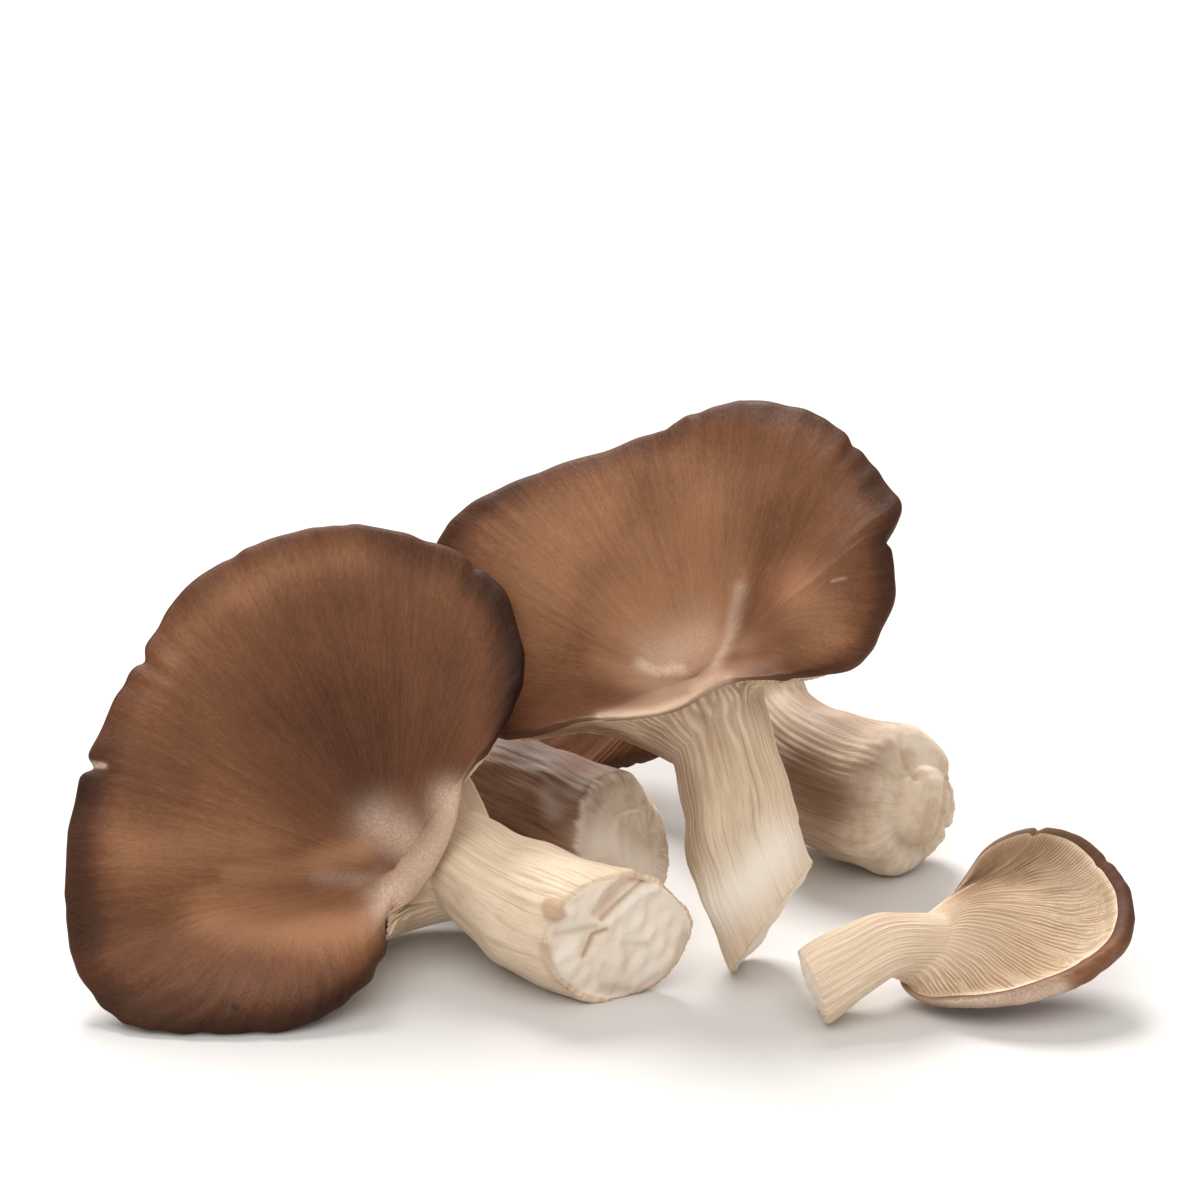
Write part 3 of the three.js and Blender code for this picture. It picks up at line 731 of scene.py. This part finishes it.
def wrap_grid(node, points, zones, fibre, floats):
    """A mesh through all the points, with what the finishes need to know written on it."""
    ring_count, columns = points.shape[:2]
    bpy.ops.mesh.primitive_grid_add(x_subdivisions=ring_count - 1, y_subdivisions=columns, size=1)
    piece = bpy.context.object
    piece.name = node + "_skin"
    mesh = piece.data
    flat = np.empty(len(mesh.vertices) * 3)
    mesh.vertices.foreach_get("co", flat)
    flat = flat.reshape(-1, 3)
    ring = np.rint((flat[:, 0] + 0.5) * (ring_count - 1)).astype(int)
    column = np.rint((flat[:, 1] + 0.5) * columns).astype(int) % columns
    mesh.vertices.foreach_set("co", points[ring, column].astype(np.float32).ravel())
    attribute = mesh.attributes.new("fibre", "FLOAT_VECTOR", "POINT")
    attribute.data.foreach_set("vector", fibre[ring, column].astype(np.float32).ravel())
    for name, values in floats.items():
        attribute = mesh.attributes.new(name, "FLOAT", "POINT")
        attribute.data.foreach_set("value", values[ring, column].astype(np.float32))
    corners = np.empty(len(mesh.loops), dtype=np.int32)
    mesh.loops.foreach_get("vertex_index", corners)
    last = ring[corners].reshape(-1, 4).max(1)
    looks = LOOK_OF_ZONE[zones[last]]
    looks[last == np.argmax(zones == GILL)] = 0  # the lip still has the cap's skin
    mesh.polygons.foreach_set("material_index", looks.astype(np.int32))
    mesh.update()
    bpy.ops.object.mode_set(mode="EDIT")
    bpy.ops.mesh.select_all(action="SELECT")
    bpy.ops.mesh.remove_doubles(threshold=MERGE_WITHIN)
    bpy.ops.mesh.normals_make_consistent(inside=False)
    bpy.ops.object.mode_set(mode="OBJECT")
    bpy.ops.object.shade_smooth()
    piece.select_set(False)
    print(piece.name, "has", len(mesh.polygons), "faces")
    return piece


print("looks of top, roll, gills, stem and cut:", LOOK_OF_ZONE)

# %% [markdown]
# ## One whole mushroom
# Now a mushroom can be laid, raised, marked and wrapped. Its finishes need to know some things about each
# place: its way round and along (fibre), how far out on the cap it is (out), how deep between gills
# (valley), how thin the margin is there (thin), the marks, and where a worn end pales (edge).

# %% Build one mushroom
GILL_FLOOR = 0.25


def shape_mushroom(spec, marks):
    """Lay, raise, mark and wrap one mushroom."""
    columns = spec["gills"] * spec["per_gill"]
    rows = uneven_rim(spec, columns)
    rolls = rows[:, 3]
    rings, zones, shares = lay_rings(spec, rows, columns)
    zone, share = zones[:, None] * np.ones(columns), shares[:, None] * np.ones(columns)
    turn = np.broadcast_to(np.arange(columns) / columns, zone.shape)
    on_stem, on_cut = zone == STEM, zone == CUT
    on_flesh = (zone == GILL) | on_stem
    out_share = np.where(zone == TOP, share, 1.0)
    gill_share = np.where(zone == GILL, share, 1.0)
    stem_share = np.where(on_stem, share, 0.0)

    normal = outward_normals(rings)
    blades = gill_heights(spec, turn, gill_share, stem_share, rings)
    rise = blade_rise(spec, gill_share, stem_share)
    swells = cap_height(spec, rings, turn, out_share) * smooth(*FULL_ROLL, rolls)
    gills = blade_height(spec, rings, rolls) * rise * (blades - GILL_FLOOR)
    height = np.where(zone <= ROLL, swells, 0) + np.where(on_flesh, gills, 0)
    height += np.where(on_stem, stem_height(rings, turn, stem_share), 0)
    rings = rings + normal * height[..., None]
    rings = rings + np.where(on_cut, cut_height(rings, share), 0)[..., None] * unit(spec["cut"])
    painted, rings = paint_marks(rings, normal, zone, marks)
    inside = np.clip((rings + SHIFT) * MM, *cad_box)

    along = zone + np.where(on_cut, 1 - share, share)
    fibre = np.stack([np.cos(2 * math.pi * turn), np.sin(2 * math.pi * turn), along], -1)
    thin = np.broadcast_to(1 - smooth(0.8, 2.6, rolls), zone.shape)
    worn = "pale_from" in spec
    worn_stem = smooth(spec["pale_from"], 1, share) if worn else 0
    floats = {"valley": np.where(on_flesh, (1 - blades) * rise, 0), "out": out_share, "thin": thin, **painted,
              "edge": np.where(on_cut, float(worn), np.where(on_stem, worn_stem, 0))}
    return wrap_grid(spec["node"], inside, zones, fibre, floats)


print("columns:", {spec["node"]: spec["gills"] * spec["per_gill"] for spec in MUSHROOMS})

# %% [markdown]
# ### The front mushroom
# Its brown cap carries painted highlights that make it palest on the lower lobe, painted shade that makes it
# darkest round the margin, and a grey bloom near the stem.
# The knife tore its stem, which left a hollow, cracks and a bud beside the cut.

# %% The front mushroom
front_marks = [
    # a hollow in the cut, with a torn edge below it
    (END, "groove", [(599, 914), (611, 898), (627, 884), (643, 875)], 6, 0.9, -1.2),
    (FACE, "light", [(611, 922), (625, 907), (641, 894), (655, 889)], 5, 0.7, 0.7),
    (FACE, "crack", [(602, 920), (616, 905), (632, 891), (645, 880), (664, 880), (677, 884)], 2.2, 0.9, -0.4),
    (END, "crack", [(593, 914), (604, 893), (624, 876), (645, 869)], 2.4, 0.4, 0),
    # cracks, and stains at the edge
    (FACE, "crack", [(607, 930), (593, 935), (589, 945), (584, 956)], 2.4, 0.8, -0.8),
    (FACE, "crack", [(622, 943), (645, 943)], 3.5, 0.28, 0),
    (FACE, "crack", [(626, 945), (625, 971)], 3.5, 0.22, 0),
    (FACE, "crack", [(604, 962), (598, 978)], 3, 0.18, 0),
    (END, "crack", [(546, 948), (549, 965), (557, 980), (573, 992)], 5.5, 0.8, -0.3),
    (END, "crack", [(556, 934), (595, 927)], 4, 0.5, -0.2),
    (FACE, "crack", [(688, 935), (681, 961), (664, 979), (636, 990), (605, 988)], 7, 0.6, 0),
    (END, "spot", [(626, 998), (630, 997)], 2.4, 1, 0),
    (END, "spot", [(656, 985), (659, 983)], 1.8, 0.8, 0),
    (FACE, "bloom",
     [(546, 940), (549, 918), (562, 900), (580, 888), (604, 876), (628, 866), (650, 860)], 13, 1, 0.3),
    # a bud beside the cut, and the scar of another
    (END, "spot", [(552, 906), (554, 913)], 9.5, 0.75, 0.9),
    (END, "bloom", [(560, 911), (570, 914)], 6, 0.5, 0.9),
    (END, "light", [(574, 911), (571, 919)], 3.5, 1, 0.4),
    # painted shade under the stem; the cap's bloom; a darker crown; painted highlights on the lobe, the fold
    # and the upper margin; and painted shade on the right side and along the margins, which turn away from the
    # light
    (FLESH, "dark", [(400, 930), (440, 955), (490, 978), (540, 1000)], 16, 0.5, 0),
    ((TOP,), "bloom", [(380, 822), (405, 838), (435, 850)], 24, 0.6, 0),
    ((TOP,), "bloom", [(320, 876), (355, 879), (392, 885)], 9, 0.3, 0),
    (CAP, "bloom", [(452, 800), (446, 835), (420, 865), (388, 900)], 20, 1, 0),
    ((TOP,), "light", [(360, 850), (300, 868), (230, 872)], 16, 1, 0),
    ((TOP,), "dark", [(335, 735), (350, 770)], 85, 0.55, 0),
    ((TOP,), "dark", [(430, 720), (470, 650)], 45, 0.25, 0),
    ((TOP,), "light", [(125, 850), (180, 850), (260, 840)], 45, 0.65, 0),
    ((TOP,), "light", [(215, 915), (280, 925), (350, 925)], 34, 1.0, 0),
    ((TOP,), "light", [(130, 700), (180, 620), (260, 570), (350, 550)], 28, 0.6, 0),
    (CAP, "dark", [(120, 1005), (250, 1020), (350, 995)], 34, 0.7, 0),
    (CAP, "dark", [(490, 590), (516, 660), (505, 730)], 26, 1, 0),
    (CAP, "dark", [(85, 790), (82, 860), (88, 930)], 26, 0.8, 0),
    (CAP, "spot", [(233, 1006), (235, 1009)], 3, 0.8, -0.2),
    (CAP, "bloom", [(84, 764), (104, 766)], 3, 0.9, 0),
]
front = shape_mushroom(FRONT, front_marks)

# %% [markdown]
# ### The tall mushroom
# Its cap is a little lighter. A bloom lines the hollow where the margin meets the stem. Painted highlights lie
# where the cap's top and the stem's lower part face the light, and painted shade lies in the valleys beside
# the ridge and behind the front lip, on the stem under the cap, and on the web between the gills and the stem.

# %% The tall mushroom
tall_marks = [
    ((TOP,), "bloom", [(642, 664), (655, 671), (680, 668)], 8, 0.6, 0),
    ((TOP,), "bloom", [(695, 692), (716, 668), (729, 640), (740, 590)], 8, 0.36, 0.2),
    ((TOP,), "bloom", [(660, 660), (700, 640)], 30, 0.3, 0),
    (CAP, "bloom", [(600, 716), (655, 712), (690, 698), (728, 680)], 5, 0.5, 0),
    ((TOP,), "bloom", [(832, 581), (845, 578)], 1.5, 0.4, 0),
    # painted highlights where the cap's middle and right lobe face the light, painted shade in the valley
    # beside the ridge and behind the front lip, and darker margins
    ((TOP,), "light", [(640, 600), (690, 520), (700, 620)], 60, 0.75, 0),
    ((TOP,), "light", [(800, 590), (830, 630)], 35, 0.6, 0),
    ((TOP,), "dark", [(748, 620), (756, 590), (770, 545)], 16, 0.25, 0.5),
    ((TOP,), "dark", [(590, 692), (640, 698), (688, 690)], 9, 0.35, 0),
    (CAP, "dark", [(870, 470), (890, 560), (868, 625)], 24, 0.7, 0),
    # a lighter left side, a painted highlight in the lit hollow, and darker edges at the top and front
    ((TOP,), "light", [(500, 650), (530, 600), (600, 500)], 50, 0.75, 0),
    ((TOP,), "light", [(600, 660), (660, 690)], 16, 0.5, 0),
    (CAP, "dark", [(450, 540), (520, 478), (600, 440), (660, 425)], 7, 0.3, 0),
    (CAP, "dark", [(760, 672), (820, 668), (850, 650)], 10, 0.5, 0),
    (END, "crack", [(731, 962), (735, 978)], 11, 0.3, 0),
    # painted shade on the stem's left side under the cap, a painted highlight on its lit lower part, fainter
    # painted shade down its middle, and painted shade on the web under the cap's left side
    (FLESH, "dark", [(655, 745), (686, 785), (688, 860)], 17, 0.6, 0),
    ((STEM,), "light", [(712, 910), (750, 885), (785, 850)], 30, 0.85, 0),
    (FLESH, "dark", [(712, 750), (738, 800), (742, 845)], 26, 0.22, 0),
    (FLESH, "dark", [(510, 738), (555, 732), (592, 728), (628, 740), (660, 757)], 8, 1.1, 0),
]
tall = shape_mushroom(TALL, tall_marks)

# %% [markdown]
# ### The middle and back mushrooms
# Both show only their stems. Their worn ends have cracks, pale patches and a dark side where the old skin
# runs over the edge.

# %% The middle and back mushrooms
middle = shape_mushroom(MIDDLE, [
    ((STEM,), "bloom", [(545, 795), (552, 812)], 10, 0.45, 0),
    (END, "dark", [(583, 850), (590, 815), (606, 784), (640, 766)], 10, 0.35, 0),
    (FACE, "crack", [(628, 782), (622, 830), (626, 875)], 3, 0.45, -0.4),
    (FACE, "crack", [(645, 780), (650, 830), (655, 870)], 3, 0.45, -0.4),
    (FACE, "crack", [(662, 800), (668, 850)], 3, 0.4, -0.4),
    (END, "light", [(606, 845), (640, 872)], 26, 1, 0),
])
back = shape_mushroom(BACK, [
    ((STEM,), "dark", [(795, 770), (825, 800)], 40, 0.9, 0),
    (END, "dark", [(800, 700), (845, 735), (885, 742)], 18, 0.45, 0),
    (END, "dark", [(852, 765), (876, 762)], 20, 0.5, 0),
    (END, "dark", [(856, 765), (862, 800)], 17, 0.45, 0),
    (END, "light", [(905, 738), (925, 745), (930, 765)], 8, 0.6, -0.4),
    (END, "crack", [(902, 742), (906, 765), (915, 778)], 3, 0.8, -0.9),
    (END, "crack", [(948, 775), (945, 815), (950, 835)], 3, 0.7, -0.8),
    (END, "crack", [(880, 772), (900, 776)], 3.5, 0.8, -0.2),
])

# %% [markdown]
# ### The small mushroom
# The skin that it lies on is paler and has a bloom, and the inner wall of its hollow has painted shade.

# %% The small mushroom
small = shape_mushroom(SMALL, [
    (CAP, "light", [(1112, 950), (1080, 975), (1030, 995)], 22, 0.9, 0),
    (CAP, "bloom", [(1060, 990), (1020, 1002), (960, 1000), (915, 985)], 12, 0.95, 0),
    # painted shade on the hollow's inner wall
    ((GILL,), "dark", [(965, 890), (1000, 850), (1040, 842)], 34, 1.0, 0),
])

# %% [markdown]
# ## Shader sums in plain Python
# A finish is a sum of patterns, and wiring each sum by hand hides what it says. So a small class holds a
# socket, and adding, subtracting or multiplying it adds the Math node.

# %% Shader sums
class Value:
    """A socket that can be used in Python sums."""

    def __init__(self, finish, socket):
        self.finish, self.socket = finish, socket

    def maths(self, operation, *given):
        return self.finish.node("ShaderNodeMath", {"operation": operation}, dict(enumerate(given)))

    def __add__(self, other):
        return self.maths("ADD", self, other)

    def __mul__(self, other):
        return self.maths("MULTIPLY", self, other)

    def __sub__(self, other):
        return self.maths("SUBTRACT", self, other)

    def __rsub__(self, other):
        return self.maths("SUBTRACT", other, self)

    __radd__, __rmul__ = __add__, __mul__


print("sums of values:", [name.strip("_") for name in vars(Value) if name.strip("_") in ("add", "sub", "mul")])

# %% [markdown]
# ## One finish
# Any other node comes from one method of the finish, which takes the node's type, its settings and what its
# sockets are given. Noise stretched along the fibre places is the pattern that all the flesh is made from.

# %% Finish
class Finish:
    """A material, the one method that adds nodes to it, and the patterns made with that method."""

    def __init__(self, name, **constants):
        self.material = bpy.data.materials.new(name)
        self.material.use_nodes = True
        self.tree = self.material.node_tree
        self.shader = next(n for n in self.tree.nodes if n.type == "BSDF_PRINCIPLED")
        for socket, value in constants.items():
            self.shader.inputs[socket.replace("_", " ")].default_value = value

    def node(self, kind, settings=None, given=None, output=0):
        node = self.tree.nodes.new(kind)
        for name, value in (settings or {}).items():
            if name == "stops":
                for _ in range(len(value) - 2):
                    node.color_ramp.elements.new(0.5)
                for stop, (place, colour) in zip(node.color_ramp.elements, value):
                    stop.position, stop.color = place, (*colour, 1)
            else:
                setattr(node, name, value)
        for socket, value in (given or {}).items():
            self.feed(node.inputs[socket], value)
        return Value(self, node.outputs[output])

    def feed(self, socket, value):
        if isinstance(value, Value):
            self.tree.links.new(value.socket, socket)
        else:
            socket.default_value = value

    def drive(self, **sockets):
        for name, value in sockets.items():
            self.feed(self.shader.inputs[name.replace("_", " ")], value)

    def mark(self, name):
        return self.node("ShaderNodeAttribute", {"attribute_name": name}, output=2)

    def fibre(self, around, along):
        place = self.node("ShaderNodeAttribute", {"attribute_name": "fibre"}, output=1)
        given = {0: place, 1: (around, around, along)}
        return self.node("ShaderNodeVectorMath", {"operation": "MULTIPLY"}, given)

    def noise(self, vector, scale=1.0, detail=3.0, roughness=0.5):
        given = {"Vector": vector, "Scale": scale, "Detail": detail, "Roughness": roughness}
        return self.node("ShaderNodeTexNoise", None, given)

    def object_place(self):
        return self.node("ShaderNodeTexCoord", output=3)

    def step(self, value, start, end, low=0.0, high=1.0):
        given = {"Value": value, "From Min": start, "From Max": end, "To Min": low, "To Max": high}
        return self.node("ShaderNodeMapRange", {"interpolation_type": "SMOOTHSTEP"}, given)

    def blend(self, factor, low, high):
        tint = lambda c: c if isinstance(c, Value) else (*c, 1)
        given = {0: factor, 6: tint(low), 7: tint(high)}
        return self.node("ShaderNodeMix", {"data_type": "RGBA"}, given, output=2)

    def bump(self, height, strength, distance):
        given = {"Height": height, "Strength": strength, "Distance": distance}
        self.drive(Normal=self.node("ShaderNodeBump", None, given))


print("a finish can:", [name for name in vars(Finish) if not name.startswith("_")])

# %% [markdown]
# ## The cap's skin
# The skin is a thin brown film with fine streaks that run from the crown to the margin. It is darker at the
# edge and paler and greyer near the stem, where a bloom sits on it. The streaks are noise stretched along
# the fibre places, so they follow every fold of the cap.

# %% Cap skin
BROWNS = [(0, (0.026, 0.009, 0.0045)), (0.35, (0.092, 0.034, 0.0155)), (0.65, (0.2, 0.082, 0.039)),
          (1, (0.38, 0.185, 0.092))]
BLOOM, THIN_SKIN, SPECK = (0.78, 0.58, 0.45), (0.6, 0.42, 0.28), (0.03, 0.015, 0.01)


def cap_skin(name, lightness=0.0):
    skin = Finish(name, Specular_IOR_Level=0.16)
    fine = skin.noise(skin.fibre(85, 38), 1.0, 4, 0.65)
    long = skin.noise(skin.fibre(30, 3.5), 1.0, 3)
    mottle = skin.noise(skin.object_place(), 60, 4)
    tone = 0.42 * fine + 0.25 * long + 0.42 * mottle + (lightness + 0.05)
    # the light mark is mostly painted highlight where a cap faces the light, and the dark mark mostly painted
    # shade where it turns away, with the front cap's darker crown as well
    tone = tone + 0.4 * skin.mark("light") - 0.32 * skin.mark("dark")
    tone = tone - 0.26 * skin.step(skin.mark("out"), 0.86, 1.0)
    colour = skin.node("ShaderNodeValToRGB", {"stops": BROWNS}, {0: tone})
    scuffs = skin.step(skin.noise(skin.object_place(), 1900, 3, 0.7) + 0.5 * mottle, 0.62, 0.9)
    bloom = skin.mark("bloom")
    colour = skin.blend(bloom * (0.74 + 0.4 * scuffs), colour, BLOOM)
    colour = skin.blend(skin.mark("thin") * 0.35, colour, THIN_SKIN)
    colour = skin.blend(skin.mark("spot"), colour, SPECK)
    skin.drive(Base_Color=colour)
    skin.drive(Roughness=0.46 + 0.2 * mottle + 0.15 * bloom)
    skin.bump(fine + 0.5 * skin.noise(skin.object_place(), 500, 4), 0.3, 0.0005)
    return skin.material


skin_brown = cap_skin("cap_skin_brown")
skin_tan = cap_skin("cap_skin_tan", 0.035)
print("cap skins:", skin_brown.name, skin_tan.name)

# %% [markdown]
# ## Flesh: gills and stem
# Gills and stem are one cream flesh. The stem shows lengthwise strands, tan in their hollows, and the
# valleys between the gills are painted darker and warmer: painted shade, warmed where light comes back through
# the thin blades.
# A worn end is a second look in the same material, so the old skin can run over its edge in a ragged line.
# The shaded flesh is the cream made darker and greyer as painted shade, for the tall stem and gills under
# their cap; the dark and tan fleshes differ in colour only, as the older stems do on the real cluster.

# %% Flesh
CREAM, STRAND, GILL_DEEP = (0.88, 0.72, 0.55), (0.66, 0.46, 0.29), (0.42, 0.27, 0.16)
# the second colour is the pale of torn flesh and also a painted highlight, as on the tall stem's lit lower
# part
SCAR, TORN_AND_HIGHLIGHT = (0.66, 0.48, 0.36), (0.9, 0.82, 0.72)
BUD, GREY_BLOOM = (0.46, 0.28, 0.15), (0.55, 0.42, 0.36)
LIGHT_REACH = (0.004, 0.002, 0.001)


def flesh(name, pale, strand, deep, stripes=0.5, end=(0.72, 0.55, 0.39), end_shade=(0.6, 0.43, 0.29)):
    meat = Finish(name, Specular_IOR_Level=0.35, Subsurface_Weight=0.1, Subsurface_Radius=LIGHT_REACH,
                  Subsurface_Scale=1.0)
    strands = meat.noise(meat.fibre(14, 2.2), 1.0, 5, 0.65)
    hairs = meat.noise(meat.fibre(60, 9), 1.0, 3, 0.6)
    cloud = meat.noise(meat.object_place(), 55, 3)
    hollow = meat.step(0.65 * strands + 0.35 * cloud, 0.44, 0.66)
    colour = meat.blend(hollow * stripes, pale, strand)
    colour = meat.blend(meat.step(hairs, 0.48, 0.72) * 0.45, colour, strand)
    # painted shade: the valleys between the gills are darker and warmer
    colour = meat.blend(meat.mark("valley") * 0.6, colour, deep)
    sponge = meat.noise(meat.object_place(), 380, 5, 0.65)
    patches = meat.noise(meat.object_place(), 120, 3)
    worn = meat.blend(meat.step(0.6 * patches + 0.4 * sponge, 0.42, 0.64) * 0.8, end, end_shade)
    lines = meat.step(meat.noise(meat.fibre(34, 1.3), 1.0, 2), 0.58, 0.68)
    colour = meat.blend(lines * 0.4, colour, deep)
    border = meat.noise(meat.fibre(7, 1.6), 1.0, 4, 0.7)
    ragged = meat.step(meat.mark("edge") + 1.2 * border + 0.6 * cloud, 1.05, 1.5)
    colour = meat.blend(ragged * 0.9, colour, worn)
    # the dark mark is painted shade under the caps and in the small mushroom's hollow, and the darker old skin
    # on the middle and back stems
    colour = meat.blend(meat.mark("dark") * (0.55 + 0.8 * hairs), colour, deep)
    # the light mark: torn flesh and pale patches, and a painted highlight on the tall stem's lower part
    for mark, most, tint in (("groove", 0.7, SCAR), ("crack", 0.7, end_shade), ("spot", 0.8, BUD),
                             ("bloom", 1, GREY_BLOOM), ("light", 1, TORN_AND_HIGHLIGHT)):
        colour = meat.blend(meat.mark(mark) * most, colour, tint)
    meat.drive(Base_Color=colour)
    meat.drive(Roughness=0.5 + 0.15 * cloud)
    meat.bump((strands + 0.5 * hairs) * (1 - ragged) + (sponge + patches) * ragged, 0.35, 0.0007)
    return meat.material


flesh_cream = flesh("flesh_cream", CREAM, STRAND, GILL_DEEP)
# painted shade: the cream flesh made darker and greyer, with darker valleys, for the tall stem and gills under
# their cap
flesh_shaded = flesh("flesh_shaded", (0.76, 0.6, 0.44), (0.54, 0.37, 0.22), (0.24, 0.14, 0.085), 0.6)
flesh_dark = flesh(
    "flesh_dark_striped", (0.24, 0.13, 0.075), (0.07, 0.031, 0.016), (0.05, 0.022, 0.012), 0.9,
    end=(0.88, 0.75, 0.61), end_shade=(0.5, 0.35, 0.23))
flesh_tan = flesh(
    "flesh_tan", (0.62, 0.47, 0.34), (0.36, 0.22, 0.13), (0.16, 0.075, 0.04), 0.7,
    end=(0.8, 0.67, 0.53), end_shade=(0.56, 0.4, 0.26))
print("fleshes:", [material.name for material in (flesh_cream, flesh_shaded, flesh_dark, flesh_tan)])

# %% [markdown]
# ## The cut
# The knife leaves a pale, dry, slightly spongy face with a tan outline and darker cracks. It is duller than
# the flesh beside it, because nothing smooth is left to shine.

# %% Cut face
CUT_RIM, CUT_STAIN, CUT_CRACK = (0.86, 0.72, 0.57), (0.26, 0.15, 0.085), (0.42, 0.25, 0.14)


def cut_face(name, pale, shade):
    face = Finish(name, Specular_IOR_Level=0.3, Subsurface_Weight=0.1, Subsurface_Radius=LIGHT_REACH)
    sponge = face.noise(face.object_place(), 420, 5, 0.65)
    patches = face.noise(face.object_place(), 110, 3)
    colour = face.blend(face.step(0.6 * patches + 0.4 * sponge, 0.42, 0.66) * 0.6, pale, shade)
    for mark, most, tint in (("bloom", 1, CUT_RIM), ("dark", 1, CUT_STAIN), ("groove", 0.7, SCAR),
                             ("crack", 0.75, CUT_CRACK), ("light", 0.6, TORN_AND_HIGHLIGHT), ("spot", 0.8, BUD)):
        colour = face.blend(face.mark(mark) * most, colour, tint)
    face.drive(Base_Color=colour)
    face.drive(Roughness=0.62 + 0.2 * sponge)
    face.bump(sponge + patches, 0.5, 0.0009)
    return face.material


cut_pale = cut_face("cut_pale", (0.93, 0.84, 0.74), (0.84, 0.7, 0.55))
print("cut:", cut_pale.name)

# %% [markdown]
# ## Dressing the mushrooms
# Each skin gets its three looks in the order that its faces count them. A worn end wears the flesh, not the
# pale cut. Then the measured node that each skin stands for is hidden. Nothing in the cluster moves, so all
# ride on the same body.

# %% Dress the mushrooms
dressing = [(front, skin_brown, flesh_cream, cut_pale), (tall, skin_tan, flesh_shaded, cut_pale),
            (middle, skin_brown, flesh_dark, flesh_dark), (back, skin_brown, flesh_tan, flesh_tan),
            (small, skin_tan, flesh_cream, cut_pale)]
for piece, *looks in dressing:
    for look in looks:
        piece.data.materials.append(look)
    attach(piece, "root")
    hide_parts(piece.name.removesuffix("_skin"))
print("dressed:", [entry[0].name for entry in dressing])

# %% [markdown]
# ## The floor
# The cluster lies on a pale surface. A wide plane of light grey does for it, because the lamps bring it up to
# white and the shadows still have room to show. It only takes part in the picture.

# %% Floor
bpy.ops.mesh.primitive_plane_add(size=12, location=(0, 0, 0))
floor = bpy.context.object
floor.name = "floor"
floor.select_set(False)
sweep = Finish("white_sweep", Roughness=0.35, Specular_IOR_Level=0.25)
sweep.drive(Base_Color=(0.7, 0.7, 0.7, 1))
floor.data.materials.append(sweep.material)
print("floor, m wide:", round(floor.dimensions.x))

# %% [markdown]
# ## The light
# Soft light comes from behind and a little from the left, so shadows fall forwards and the caps' tops shine
# faintly. Suns with a wide angle give such light evenly over the group, whatever its size. A much wider one
# from the front lights the stems, and a faintly warm white world fills the rest, as white walls would.

# %% Light and world
WARM_WHITE = (1, 0.96, 0.91)
WORLD_STRENGTH = 0.56


def sun(name, back, side, strength, spread, tint):
    """A sun that comes from behind by one angle and from the left by the other, in degrees."""
    bpy.ops.object.light_add(type="SUN", rotation=(math.radians(-back), math.radians(-side), 0))
    light = bpy.context.object
    light.name = name
    light.data.energy, light.data.angle, light.data.color = strength, math.radians(spread), tint
    light.select_set(False)
    print(name, "strength", strength)


sun("key_behind", 45, 12, 3.35, 25, (1, 0.97, 0.94))
sun("soft_above", -20, 4, 1.25, 70, WARM_WHITE)
world = bpy.data.worlds.new("white_room")
bpy.context.scene.world = world
world.use_nodes = True
background = world.node_tree.nodes["Background"]
background.inputs["Color"].default_value = (*WARM_WHITE, 1)
background.inputs["Strength"].default_value = WORLD_STRENGTH
bpy.context.scene.view_settings.view_transform = "Standard"

# %% [markdown]
# ## Sizes
# The skins were clipped to the measured box, so that no lump stands out of it.
